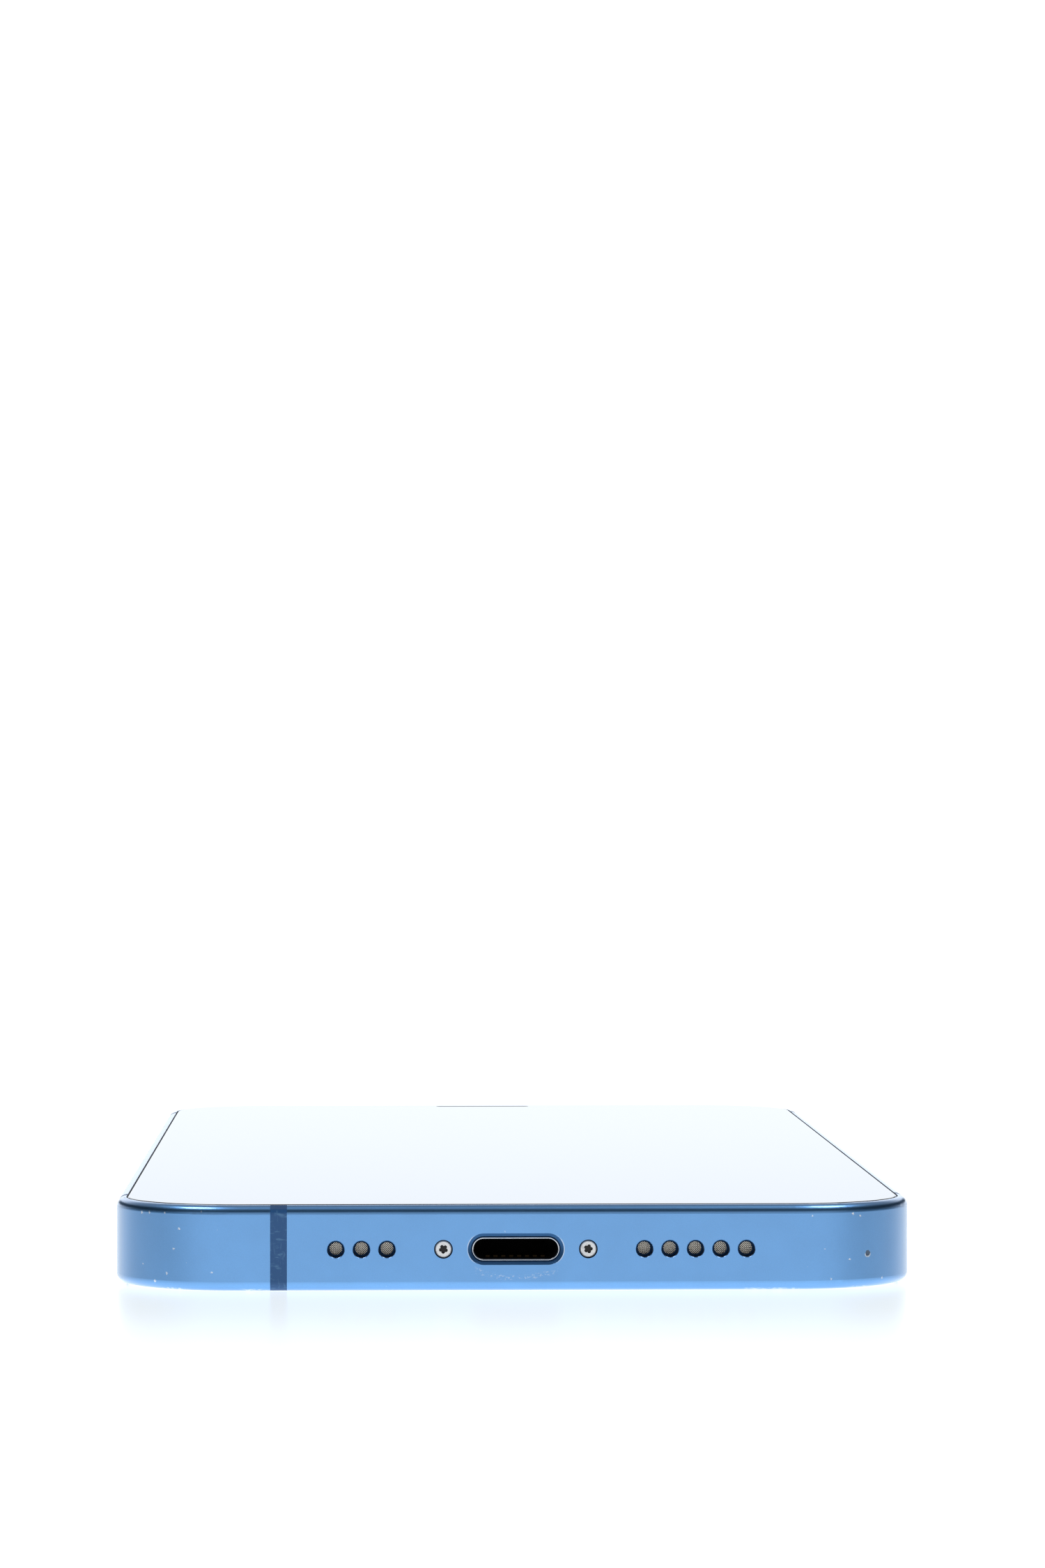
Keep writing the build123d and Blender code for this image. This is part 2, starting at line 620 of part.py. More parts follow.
def notch(grow, z0, z1):
    """The space for the front sensors, open to the top edge."""
    half = NOTCH_W / 2 + grow
    low = LENGTH / 2 - PANEL_INSET - NOTCH_H - grow
    return soft_block((-half, half), (low, LENGTH / 2 + NOTCH_H), (z0, z1), NOTCH_R)


def display_panel():
    return plate(PANEL_INSET, PANEL_LOW, FRONT_GLASS_LOW) - notch(0, PANEL_LOW, FRONT_GLASS_LOW)


def display_shield():
    """The steel sheet behind the panel."""
    sheet = plate(PANEL_INSET + PANEL_SHIELD_INSET, SHIELD_LOW, PANEL_LOW)
    return sheet - notch(PANEL_SHIELD_INSET, SHIELD_LOW, PANEL_LOW)


def display_frame():
    """The plastic frame bonded under the glass, with a drilled tab for each bottom screw."""
    outer = WALL + FRAME_CLEAR
    frame = ring(outer, outer + FRAME_W, SHIELD_LOW, FRONT_GLASS_LOW)
    half = EARPIECE_CAN[0] / 2 + PART_CLEAR
    top_gap = (INNER_Y - outer - FRAME_W, LENGTH / 2)
    frame -= block((-half, half), top_gap, (SHIELD_LOW, FRONT_GLASS_LOW))
    wide, long, high = FRAME_TAB
    y0 = -INNER_Y + FRAME_CLEAR
    low = AXIS_Z - high / 2
    for x in (-SCREW_X, SCREW_X):
        span = (x - wide / 2, x + wide / 2)
        frame += block(span, (y0, y0 + long), (low, SHIELD_LOW - FIT))
        frame += block(span, (y0, y0 + FRAME_W), (low, FRONT_GLASS_LOW))
        frame -= along_y(Circle(SCREW_D / 2 + THREAD_CLEAR), x, AXIS_Z, y0, y0 + long)
    return frame


def earpiece_speaker():
    """The receiver, with a spout up to the slot's mesh."""
    wide, long, high = EARPIECE_CAN
    y1 = EARPIECE_Y + EARPIECE_H / 2
    can = soft_block((-wide / 2, wide / 2), (y1 - long, y1), (PANEL_LOW - high, PANEL_LOW), 0.6)
    spout = (PANEL_LOW, FRONT_GLASS_LOW - MESH_T - FIT)
    half = EARPIECE_W / 2
    return can + block((-half, half), (y1 - EARPIECE_H, y1), spout)


def sensor(x, radius):
    """A front sensor: a round snout under the glass on a square base."""
    y = EARPIECE_Y - SENSOR_ROW_Y
    top = FRONT_GLASS_LOW - FIT
    snout = along_z(Circle(radius), x, y, top - SNOUT_H, top)
    half = radius + SENSOR_SHOULDER
    base = RectangleRounded(2 * half, 2 * half, SENSOR_SHOULDER)
    return snout + along_z(base, x, y, SENSOR_LOW, top - SNOUT_H)


def front_camera():
    return sensor(FRONT_CAMERA_X, FRONT_CAMERA_R)


def face_sensors():
    """The infrared camera, the dot projector and the proximity sensor."""
    return Compound([sensor(x, radius) for x, radius in FACE_SENSORS])


def sensor_bracket():
    """The plate behind the front sensors that keeps them in line."""
    y = EARPIECE_Y - SENSOR_ROW_Y
    last_x, last_r = FACE_SENSORS[-1]
    face = RectangleRounded(2 * (last_x + last_r + SENSOR_SHOULDER), 2 * BRACKET_HALF, 0.8)
    return along_z(face, 0, y, SENSOR_LOW - SHEET_T, SENSOR_LOW)


# ---- Meshes over the sound openings --------------------------------------------------------------
def hole_mesh(xs):
    """A strip of woven mesh behind one row of sound holes."""
    y = END_Y + MESH_DEPTH
    x = (min(xs) - THROAT_D + FIT, max(xs) + THROAT_D - FIT)
    half = MESH_H / 2 - FIT
    return block(x, (y, y + MESH_T), (AXIS_Z - half, AXIS_Z + half))


def acoustic_meshes():
    """The meshes of the microphone, loudspeaker, earpiece and rear microphone."""
    earpiece = SlotOverall(EARPIECE_W + 0.5, EARPIECE_H + 0.15)
    meshes = [
        hole_mesh(MIC_XS),
        hole_mesh(SPEAKER_XS),
        along_z(earpiece, 0, EARPIECE_Y, FRONT_GLASS_LOW - MESH_T, FRONT_GLASS_LOW),
        along_z(Circle(REAR_MIC_D), FLASH_X, BUMP_Y, BACK_GLASS_T, BACK_GLASS_T + MESH_T),
    ]
    return Compound(meshes)


# ---- Bottom end: microphone, loudspeaker, port and screws ----------------------------------------
def bottom_microphone():
    x = (min(MIC_XS) - SNOUT_REACH, max(MIC_XS) + SNOUT_REACH)
    return block(x, (SNOUT_Y0, SNOUT_Y0 + MIC_LONG), (AXIS_Z - SNOUT_REACH, AXIS_Z + SNOUT_REACH))


def speaker_span():
    """The speaker box's low and high x and y."""
    x = (SCREW_X + FRAME_TAB[0] / 2 + PART_CLEAR, INNER_X - SPEAKER_FROM_SIDE)
    y0 = -INNER_Y + SPEAKER_FROM_END
    return x, (y0, y0 + SPEAKER_LONG)


def loudspeaker():
    """The hollow speaker box and its snout, which reaches into the pocket behind the mesh."""
    x, y = speaker_span()
    z = (MID_HIGH + FIT, BAY_HIGH)
    wall = SPEAKER_WALL
    box = soft_block(x, y, z, 2.2)
    box -= soft_block(shrink(x, wall), shrink(y, wall), shrink(z, wall), 1.8)
    wide = (min(SPEAKER_XS) - SNOUT_REACH, max(SPEAKER_XS) + SNOUT_REACH)
    long = (SNOUT_Y0, y[0] + wall)
    high = (AXIS_Z - MESH_H / 2 + 2 * FIT, AXIS_Z + MESH_H / 2 - 2 * FIT)
    duct = block(shrink(wide, SNOUT_WALL), long, shrink(high, SNOUT_WALL))
    return box + block(wide, long, high) - duct


def loudspeaker_driver():
    """Magnet, coil and cone inside the speaker box."""
    x, y = (sum(span) / 2 for span in speaker_span())
    low = MID_HIGH + FIT + SPEAKER_WALL
    size = RectangleRounded(12.0, 9.0, 1.5)
    driver = along_z(size, x, y, low, low + 1.6)
    return driver + along_z(RectangleRounded(10.0, 7.0, 1.5), x, y, low + 1.6, low + 1.9)


def port_shell():
    """The port's steel cup, open at the bottom end."""
    y0 = END_Y + PORT_RECESS
    y1 = y0 + PORT_DEPTH + PORT_END_T
    grow = 2 * PORT_SHELL_T
    cup = along_y(SlotOverall(PORT_W + grow, PORT_H + grow), 0, AXIS_Z, y0, y1)
    return cup - along_y(SlotOverall(PORT_W, PORT_H), 0, AXIS_Z, y0, y0 + PORT_DEPTH)


def port_contacts():
    """A row of gold contact pads on the port's lower wall."""
    wide, long, high = CONTACT
    y0 = END_Y + PORT_RECESS + CONTACT_FROM_MOUTH
    low = AXIS_Z - PORT_H / 2
    pads = []
    for i in range(CONTACT_COUNT):
        x = (i - (CONTACT_COUNT - 1) / 2) * CONTACT_PITCH
        pads.append(block((x - wide / 2, x + wide / 2), (y0, y0 + long), (low, low + high)))
    return Compound(pads)


def port_housing():
    """The moulded block that carries the steel cup behind the wall."""
    y0 = -INNER_Y + FIT
    cup_end = END_Y + PORT_RECESS + PORT_DEPTH + PORT_END_T
    grow = 2 * PORT_SHELL_T
    z = (MID_HIGH + FIT, AXIS_Z + PORT_H / 2 + PORT_SHELL_T + HOUSING_TOP)
    half = SCREW_X - FRAME_TAB[0] / 2 - 3 * FIT
    body = soft_block((-half, half), (y0, cup_end + HOUSING_BACK), z, 0.5)
    return body - along_y(SlotOverall(PORT_W + grow, PORT_H + grow), 0, AXIS_Z, y0, cup_end)


def charge_flex():
    """The flat cable on the midplate that joins the bottom parts to the board."""
    z = (MID_HIGH, MID_HIGH + FLEX_T)
    foot_top = -INNER_Y + 6.0
    foot = block((-INNER_X + 8, INNER_X - 8), (-INNER_Y + 1.6, foot_top), z)
    tail = block((BOARD_X1 - 0.4, BOARD_X1 + 1.4), (foot_top, BOARD_Y0 + 6), z)
    return foot + tail


def bottom_screw(x, first_lobe):
    """A tamper-resistant screw with a five-lobed recess, its first lobe at an angle in degrees."""
    face = END_Y + SCREW_SINK
    head = along_y(Circle(SCREW_HEAD_D / 2), x, AXIS_Z, face, face + SCREW_HEAD_T)
    head = chamfer(head.faces().sort_by(Axis.Y)[0].edges(), 0.1)
    shank = along_y(Circle(SCREW_D / 2), x, AXIS_Z, face + SCREW_HEAD_T, face + SCREW_LENGTH)
    recess = Circle(LOBE_RING_R)
    for i in range(LOBES):
        turn = radians(first_lobe + i * 360 / LOBES)
        recess += Pos(LOBE_RING_R * cos(turn), LOBE_RING_R * sin(turn)) * Circle(LOBE_R)
    return head + shank - along_y(recess, x, AXIS_Z, face, face + RECESS_DEPTH)


def bottom_screws():
    return Compound([bottom_screw(*screw) for screw in zip((-SCREW_X, SCREW_X), FIRST_LOBES)])


# ---- Side buttons, ring switch and their switches -------------------------------------------------
def button(side, y, length):
    """A push button: a cap with a soft outer edge and two posts through the wall."""
    cap = from_side(SlotOverall(length, BUTTON_H), side, y, AXIS_Z, -BUTTON_PROUD, BUTTON_DEPTH)
    cap = fillet(cap.faces().sort_by(Axis.X)[-1 if side > 0 else 0].edges(), 0.25)
    for post_y in post_places(y, length):
        post = from_side(Circle(POST_D / 2), side, post_y, AXIS_Z, BUTTON_DEPTH, WALL + POST_PROUD)
        cap += post
    return cap


def switch_strip(side, places):
    """A thin strip inside the wall with a dome switch behind each button post."""
    near = WALL + POST_PROUD + BUTTON_TRAVEL + FIT
    dome_r = POST_D / 2 + 0.3
    y0, y1 = min(places) - 2 * dome_r, max(places) + 2 * dome_r
    face = Rectangle(y1 - y0, 2.6)
    strip = from_side(face, side, (y0 + y1) / 2, AXIS_Z, near + SWITCH_T / 2, near + SWITCH_T)
    for y in places:
        strip += from_side(Circle(dome_r), side, y, AXIS_Z, near, near + SWITCH_T / 2)
    return strip


def button_switches():
    """The switch strips of the volume buttons and of the side button."""
    volume = post_places(VOLUME_UP_Y, VOLUME_LENGTH) + post_places(VOLUME_DOWN_Y, VOLUME_LENGTH)
    side = post_places(SIDE_BUTTON_Y, SIDE_BUTTON_LENGTH)
    return Compound([switch_strip(-1, volume), switch_strip(1, side)])


def ring_switch():
    """The ring and silent lever, shown in its ring position, nearer the display."""
    deep = RING_DEPTH - 0.15
    head = from_side(SlotOverall(*RING_HEAD), -1, RING_Y, RING_REST_Z, -RING_PROUD, deep)
    head = fillet(head.faces().sort_by(Axis.X)[0].edges(), 0.25)
    stem = from_side(Rectangle(*RING_STEM), -1, RING_Y, RING_REST_Z, deep, WALL + 0.2)
    return head + stem


def ring_switch_base():
    """The sliding switch behind the wall that the lever works."""
    near = WALL + 0.2 + FIT
    return from_side(Rectangle(6.0, RING_SLOT[1] + 0.6), -1, RING_Y, AXIS_Z, near, near + 0.8)


def silent_mark():
    """The orange strip on the recess floor that shows when the ring is off."""
    z = RING_REST_Z + 0.35
    mark = from_side(Rectangle(4.2, 0.6), -1, RING_Y, z, RING_DEPTH - FIT, RING_DEPTH)
    return mark - from_side(Rectangle(*RING_SLOT), -1, RING_Y, AXIS_Z, 0, WALL)


# ---- Card tray, card and reader --------------------------------------------------------------------
def card_block(grow, z0, z1):
    """The card's outline, with its cut corner, as a block."""
    x0 = -WIDTH / 2 + TRAY_PLATE_T + CARD_FROM_PLATE - grow
    long, wide = CARD[0] + 2 * grow, CARD[1] + 2 * grow
    y0 = BODY_Y - wide / 2
    x1, y1 = x0 + long, y0 + wide
    cut_x, cut_y = x1 - CARD_CORNER, y0 + CARD_CORNER
    face = Polygon((x0, y0), (cut_x, y0), (x1, cut_y), (x1, y1), (x0, y1), align=None)
    return along_z(face, 0, 0, z0, z1)


def sim_tray():
    """The tray: a plate that closes the slot and a frame that holds the card."""
    back = TRAY_PLATE_T
    face = from_side(SlotOverall(*TRAY_PLATE), -1, TRAY_Y, AXIS_Z, 0, back)
    face = fillet(face.faces().sort_by(Axis.X)[0].edges(), 0.06)
    section = Rectangle(TRAY_BODY_W, TRAY_BODY_T)
    tray = face + from_side(section, -1, BODY_Y, AXIS_Z, back, back + TRAY_BODY_LONG)
    low = AXIS_Z - TRAY_BODY_T / 2
    top = AXIS_Z + TRAY_BODY_T / 2
    tray -= card_block(CARD_CLEAR, top - CARD[2] - CARD_CLEAR, top)
    tray -= card_block(-TRAY_LEDGE, low, top)
    return tray - from_side(Circle(EJECT_D / 2), -1, EJECT_Y, AXIS_Z, 0, back)


def sim_card():
    top = AXIS_Z + TRAY_BODY_T / 2
    return card_block(0, top - CARD[2], top)


def tray_seal():
    """The rubber ring around the tray's body, just behind its plate."""
    width, thick = TRAY_BODY_W, TRAY_BODY_T
    deep = (TRAY_RECESS_DEPTH + 0.05, TRAY_RECESS_DEPTH + 0.65)
    outer = from_side(Rectangle(width + 0.3, thick + 0.3), -1, BODY_Y, AXIS_Z, *deep)
    return outer - from_side(Rectangle(width, thick), -1, BODY_Y, AXIS_Z, *deep)


def reader_end():
    """How deep the reader's rooms for the tray and the eject rod reach."""
    return TRAY_PLATE_T + TRAY_BODY_LONG + 0.3


def eject_rod():
    """The rod beside the tray that an eject pin pushes in."""
    deep = (WALL + EJECT_ROD_CLEAR, reader_end() - TRAY_CLEAR - EJECT_TRAVEL)
    return from_side(Rectangle(*EJECT_ROD), -1, EJECT_Y, AXIS_Z, *deep)


def sim_reader():
    """The steel cage on the board, with a room for the tray and one for the eject rod."""
    rod_half = EJECT_ROD[0] / 2 + TRAY_CLEAR
    rod_rise = EJECT_ROD[1] / 2 + TRAY_CLEAR
    half = TRAY_BODY_W / 2 + TRAY_CLEAR
    rise = TRAY_BODY_T / 2 + TRAY_CLEAR
    x = (-INNER_X + 0.1, -WIDTH / 2 + reader_end())
    y = (EJECT_Y - rod_half - READER_WALL, BODY_Y + half + READER_WALL)
    cage = block((x[0], x[1] + READER_WALL), y, (BOARD_HIGH, AXIS_Z + rise + READER_WALL))
    tray_room = block(x, (BODY_Y - half, BODY_Y + half), (AXIS_Z - rise, AXIS_Z + rise))
    rod_y = (EJECT_Y - rod_half, EJECT_Y + rod_half)
    rod_room = block(x, rod_y, (AXIS_Z - rod_rise, AXIS_Z + rod_rise))
    return cage - [tray_room, rod_room]


# ---- Logic board and battery -------------------------------------------------------------------
def logic_board():
    """The main circuit board on the phone's left, with an arm towards the rear cameras."""
    z = (BOARD_LOW, BOARD_HIGH)
    board = soft_block((BOARD_X0, BOARD_X1), (BOARD_Y0, BOARD_Y1), z, 1.0)
    board += soft_block((BOARD_X1 - 3, ARM_X1), (ARM_Y0, BOARD_Y1), z, 1.0)
    return board - [along_z(Circle(0.5 + FIT), x, y, *z) for x, y in board_screw_places()]


SHIELD_LAYOUT = [  # low and high y of each can over the board's chips
    (BOARD_Y0 + 4.5, TRAY_Y - 8.0),
    (TRAY_Y + 11.0, TRAY_Y + 36.0),
    (TRAY_Y + 37.0, BOARD_Y1 - 4.5),
]
PLUG = (3.9, 4.0, 0.9)
PLUG_PITCH = 5.2
PLUG_PLACES = [  # the plugs beside the card reader, then those on the board's arm
    (BOARD_X1 - 2.55, TRAY_Y - 3.7 + i * PLUG_PITCH) for i in range(3)
] + [(ARM_X1 - 4.0, ARM_Y0 + 3.5 + i * PLUG_PITCH) for i in range(3)]


def board_shields():
    """Steel cans over the board's chips."""
    cans = []
    x = (BOARD_X0 + 1.2, BOARD_X1 - 1.2)
    z = (BOARD_HIGH, BOARD_HIGH + SHIELD_H)
    t = SHEET_T
    for y in SHIELD_LAYOUT:
        can = soft_block(x, y, z, 0.8)
        cans.append(can - soft_block(shrink(x, t), shrink(y, t), (z[0], z[1] - t), 0.6))
    return Compound(cans)


def board_chips():
    """The chips under the cans, and the plugs of the cables."""
    chips = []
    middle = (BOARD_X0 + BOARD_X1) / 2
    for low, high in SHIELD_LAYOUT:
        y = (low + high) / 2
        chips.append(block((middle - 7, middle + 7), (y - 5.5, y + 5.5), (BOARD_HIGH, BOARD_HIGH + 1)))
        for way in (-1, 1):
            side = (y + way * 8 - 1.6, y + way * 8 + 1.6)
            chips.append(block((middle - 4, middle + 2), side, (BOARD_HIGH, BOARD_HIGH + 0.7)))
    wide, long, high = PLUG
    for x, y in PLUG_PLACES:
        plug = RectangleRounded(wide, long, 0.4)
        chips.append(along_z(plug, x, y, BOARD_HIGH, BOARD_HIGH + high))
    return Compound(chips)


def connector_covers():
    """The steel plates that hold the plugs down, one over each row of three."""
    low = BOARD_HIGH + PLUG[2]
    covers = []
    for x, y in (PLUG_PLACES[1], PLUG_PLACES[4]):
        face = RectangleRounded(PLUG[0] + 0.5, 2 * PLUG_PITCH + PLUG[1] + 0.8, 0.5)
        covers.append(along_z(face, x, y, low, low + SHEET_T))
    return Compound(covers)


def board_screws():
    """The screws that hold the board down on the chassis bosses."""
    screws = []
    for x, y in board_screw_places():
        head = along_z(Circle(1.1), x, y, BOARD_HIGH, BOARD_HIGH + 0.4)
        socket = along_z(RegularPolygon(0.5, 6), x, y, BOARD_HIGH + 0.15, BOARD_HIGH + 0.4)
        shank = along_z(Circle(0.5), x, y, MID_LOW + 0.1, BOARD_HIGH)
        screws.append(head + shank - socket)
    return Compound(screws)


def battery_span():
    """The battery's low and high x and y: the bay between the board, the wall and the ends."""
    x = (BOARD_X1 + PART_CLEAR, INNER_X - 2.6)
    y = (-INNER_Y + BOTTOM_BAY, CAMERA_BAY_Y0 - PART_CLEAR)
    return x, y


def battery():
    x, y = battery_span()
    cell = soft_block(x, y, (MID_HIGH + BATTERY_BOND_T, BAY_HIGH), 1.2)
    return fillet(cell.faces().sort_by(Axis.Z)[-1].edges(), 0.5)


# ---- Haptic motor --------------------------------------------------------------------------------
HAPTIC_X1 = -SCREW_X - FRAME_TAB[0] / 2 - PART_CLEAR
HAPTIC_X = (-INNER_X + HAPTIC_FROM_SIDE, HAPTIC_X1)
HAPTIC_Y = (-INNER_Y + 2.1, -INNER_Y + 2.1 + HAPTIC_LONG)
HAPTIC_Z = (MID_HIGH + FIT, BAY_HIGH)


def haptic_case():
    """The vibration motor's steel case."""
    case = soft_block(HAPTIC_X, HAPTIC_Y, HAPTIC_Z, 0.6)
    inside = [shrink(span, HAPTIC_WALL) for span in (HAPTIC_X, HAPTIC_Y, HAPTIC_Z)]
    return case - block(*inside)


def haptic_mass():
    """The tungsten mass that slides from side to side."""
    ends = HAPTIC_WALL + SPRING_ROOM + HAPTIC_TRAVEL + 0.15
    x = shrink(HAPTIC_X, ends)
    mass = block(x, shrink(HAPTIC_Y, HAPTIC_WALL + 0.2), shrink(HAPTIC_Z, HAPTIC_WALL + 0.2))
    return fillet(mass.edges().filter_by(Axis.Z), 0.5)


def haptic_springs():
    """A bowed leaf spring at each end of the mass."""
    springs = []
    y = shrink(HAPTIC_Y, HAPTIC_WALL + 0.6)
    z = shrink(HAPTIC_Z, HAPTIC_WALL + 0.5)
    leaf = 0.12
    for side, wall_x in ((1, HAPTIC_X[0] + HAPTIC_WALL), (-1, HAPTIC_X[1] - HAPTIC_WALL)):
        tip_x = wall_x + side * SPRING_ROOM
        base = block(sorted((wall_x, wall_x + side * leaf)), y, z)
        far = block(sorted((tip_x - side * leaf, tip_x)), y, z)
        join = block(sorted((wall_x, tip_x)), (y[0], y[0] + leaf), z)
        springs.append(base + far + join)
    return Compound(springs)


# ---- Every node and the function that makes it -----------------------------------------------------
NODES = {
    "chassis": chassis,
    "bottom_band": bottom_band,
    "bottom_corner_band": bottom_corner_band,
    "top_band": top_band,
    "top_corner_band": top_corner_band,
    "bottom_antenna_insert": lambda: antenna_insert(-1),
    "top_antenna_insert": lambda: antenna_insert(1),
    "back_glass": back_glass,
    "lens_rings": lambda: both_lenses(lens_ring),
    "lens_covers": lambda: both_lenses(lens_cover),
    "flash_window": flash_window,
    "camera_housings": lambda: both_lenses(camera_housing),
    "wide_lens_barrel": lambda: lens_barrel(WIDE_Y),
    "ultrawide_lens_barrel": lambda: lens_barrel(ULTRAWIDE_Y),
    "wide_front_lens": lambda: front_lens(WIDE_Y),
    "ultrawide_front_lens": lambda: front_lens(ULTRAWIDE_Y),
    "camera_bracket": camera_bracket,
    "flash_module": flash_module,
    "charging_coil": charging_coil,
    "ferrite_sheet": ferrite_sheet,
    "magnet_ring": magnet_ring,
    "front_glass": front_glass,
    "display_gasket": display_gasket,
    "display_panel": display_panel,
    "display_shield": display_shield,
    "display_frame": display_frame,
    "earpiece_speaker": earpiece_speaker,
    "front_camera": front_camera,
    "face_sensors": face_sensors,
    "sensor_bracket": sensor_bracket,
    "acoustic_meshes": acoustic_meshes,
    "bottom_microphone": bottom_microphone,
    "loudspeaker": loudspeaker,
    "loudspeaker_driver": loudspeaker_driver,
    "port_shell": port_shell,
    "port_contacts": port_contacts,
    "port_housing": port_housing,
    "charge_flex": charge_flex,
    "bottom_screws": bottom_screws,
    "volume_up_button": lambda: button(-1, VOLUME_UP_Y, VOLUME_LENGTH),
    "volume_down_button": lambda: button(-1, VOLUME_DOWN_Y, VOLUME_LENGTH),
    "side_button": lambda: button(1, SIDE_BUTTON_Y, SIDE_BUTTON_LENGTH),
    "button_switches": button_switches,
    "ring_switch": ring_switch,
    "ring_switch_base": ring_switch_base,
    "silent_mark": silent_mark,
    "sim_tray": sim_tray,
    "sim_card": sim_card,
    "tray_seal": tray_seal,
    "sim_reader": sim_reader,
    "eject_rod": eject_rod,
    "logic_board": logic_board,
    "board_shields": board_shields,
    "board_chips": board_chips,
    "connector_covers": connector_covers,
    "board_screws": board_screws,
    "battery": battery,
    "haptic_case": haptic_case,
    "haptic_mass": haptic_mass,
    "haptic_springs": haptic_springs,
}


def main():
    os.makedirs("parts", exist_ok=True)
    for name, make in NODES.items():
        export_step(make(), os.path.join("parts", name + ".step"))
        print("wrote", name)


main()
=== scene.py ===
# %% [markdown]
# # A smartphone, finished in Blender
#
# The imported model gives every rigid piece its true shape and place. This notebook adds what a CAD
# model can't hold: anodised metal with its wear, glass, wire cloth, plastics, and the studio. Lengths
# are in metres unless a name ends in _MM, except inside a finish, where every place is in millimetres.

# %% The frame
from math import atan2, cos, pi, radians, sin, sqrt

import bmesh
import bpy
from mathutils import Matrix, Vector


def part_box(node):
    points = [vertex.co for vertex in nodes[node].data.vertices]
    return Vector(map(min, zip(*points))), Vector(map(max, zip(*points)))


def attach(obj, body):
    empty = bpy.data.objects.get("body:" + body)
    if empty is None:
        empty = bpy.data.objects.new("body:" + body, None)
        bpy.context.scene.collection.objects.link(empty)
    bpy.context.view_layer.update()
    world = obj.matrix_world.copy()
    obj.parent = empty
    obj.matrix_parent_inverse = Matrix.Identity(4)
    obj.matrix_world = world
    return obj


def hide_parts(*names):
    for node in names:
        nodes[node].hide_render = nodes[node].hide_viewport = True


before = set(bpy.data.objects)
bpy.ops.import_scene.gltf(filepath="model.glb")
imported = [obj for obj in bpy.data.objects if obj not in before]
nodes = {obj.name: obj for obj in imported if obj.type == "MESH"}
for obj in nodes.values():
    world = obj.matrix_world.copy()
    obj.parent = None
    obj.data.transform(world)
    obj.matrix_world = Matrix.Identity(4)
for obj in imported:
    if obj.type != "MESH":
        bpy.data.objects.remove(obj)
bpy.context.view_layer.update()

# %% [markdown]
# ## A small language for shader maths
#
# A finish on a real object is a sum of simple things: where it is worn, how grainy it is, how deep
# a groove lies. The nodes for it could be drawn by hand in the editor, or added one by one in code,
# but both are slow to read. So a socket is wrapped in `Value`, and then `1 - mask` or `worn * grain`
# writes the Math nodes by itself. Everything that isn't arithmetic comes from one method,
# `Graph.put`, which sets a node's settings first and its sockets after.


# %% Values
class Value:
    """A number that varies over a surface: a socket that can be used in sums."""

    def __init__(self, graph, socket):
        self.graph = graph
        self.socket = socket

    def maths(self, operation, *others):
        inputs = dict(enumerate((self, *others)))
        node = self.graph.put("ShaderNodeMath", {"operation": operation}, inputs)
        return Value(self.graph, node.outputs[0])

    def __add__(self, other):
        return self.maths("ADD", other)

    def __sub__(self, other):
        return self.maths("SUBTRACT", other)

    def __rsub__(self, other):
        node = self.graph.put("ShaderNodeMath", {"operation": "SUBTRACT"}, {0: other, 1: self})
        return Value(self.graph, node.outputs[0])

    def __mul__(self, other):
        return self.maths("MULTIPLY", other)

    def __truediv__(self, other):
        return self.maths("DIVIDE", other)

    def __abs__(self):
        return self.maths("ABSOLUTE")

    __radd__ = __add__
    __rmul__ = __mul__

    def most(self, other):
        return self.maths("MAXIMUM", other)

    def least(self, other):
        return self.maths("MINIMUM", other)

    def root(self):
        return self.maths("SQRT")

    def rise(self, low, high):
        """0 below low, 1 above high, and smooth in between. low may be the larger one."""
        settings = {"interpolation_type": "SMOOTHSTEP"}
        inputs = {"Value": self, "From Min": low, "From Max": high}
        return Value(self.graph, self.graph.put("ShaderNodeMapRange", settings, inputs).outputs[0])


print("sums of sockets can be written")


# %% Graphs
class Graph:
    """The nodes of one material, or of the world."""

    def __init__(self, tree):
        self.tree = tree
        tree.nodes.clear()

    def put(self, kind, settings=None, inputs=None):
        """Adds a node: its type, its settings, then the values or links of its sockets."""
        node = self.tree.nodes.new(kind)
        for name, setting in (settings or {}).items():
            if name == "stops":
                for element, (place, colour) in zip(stops_of(node, len(setting)), setting):
                    element.position = place
                    element.color = (*colour, 1)
            else:
                setattr(node, name, setting)
        for name, given in (inputs or {}).items():
            if isinstance(given, Value):
                self.tree.links.new(given.socket, node.inputs[name])
            else:
                node.inputs[name].default_value = given
        return node

    def out(self, node, name=0):
        return Value(self, node.outputs[name])

    def mix(self, low, high, share):
        """A colour between two colours."""
        inputs = {0: share, 6: opaque(low), 7: opaque(high)}
        return self.out(self.put("ShaderNodeMix", {"data_type": "RGBA"}, inputs), 2)


def stops_of(node, count):
    """A colour ramp's stops, with as many as are wanted."""
    ramp = node.color_ramp
    while len(ramp.elements) < count:
        ramp.elements.new(1.0)
    return ramp.elements


def opaque(colour):
    return colour if isinstance(colour, Value) else (*colour, 1)


print("nodes can be added and linked")

# %% [markdown]
# ## A finish
#
# Every finish here is a Principled surface. What is the same all over is set as a plain number on
# the shader's own socket. Grain could be laid on through an unwrapped map, which stretches on
# rounded corners. Here it comes from `where`, the place on the object in millimetres, so that grain
# and scratches keep their real size on every piece and run on from one piece to the next.


# %% Finish
def socket_name(key):
    """coat_weight becomes Coat Weight, as the shader writes it."""
    return key.replace("_", " ").title().replace("Ior", "IOR")


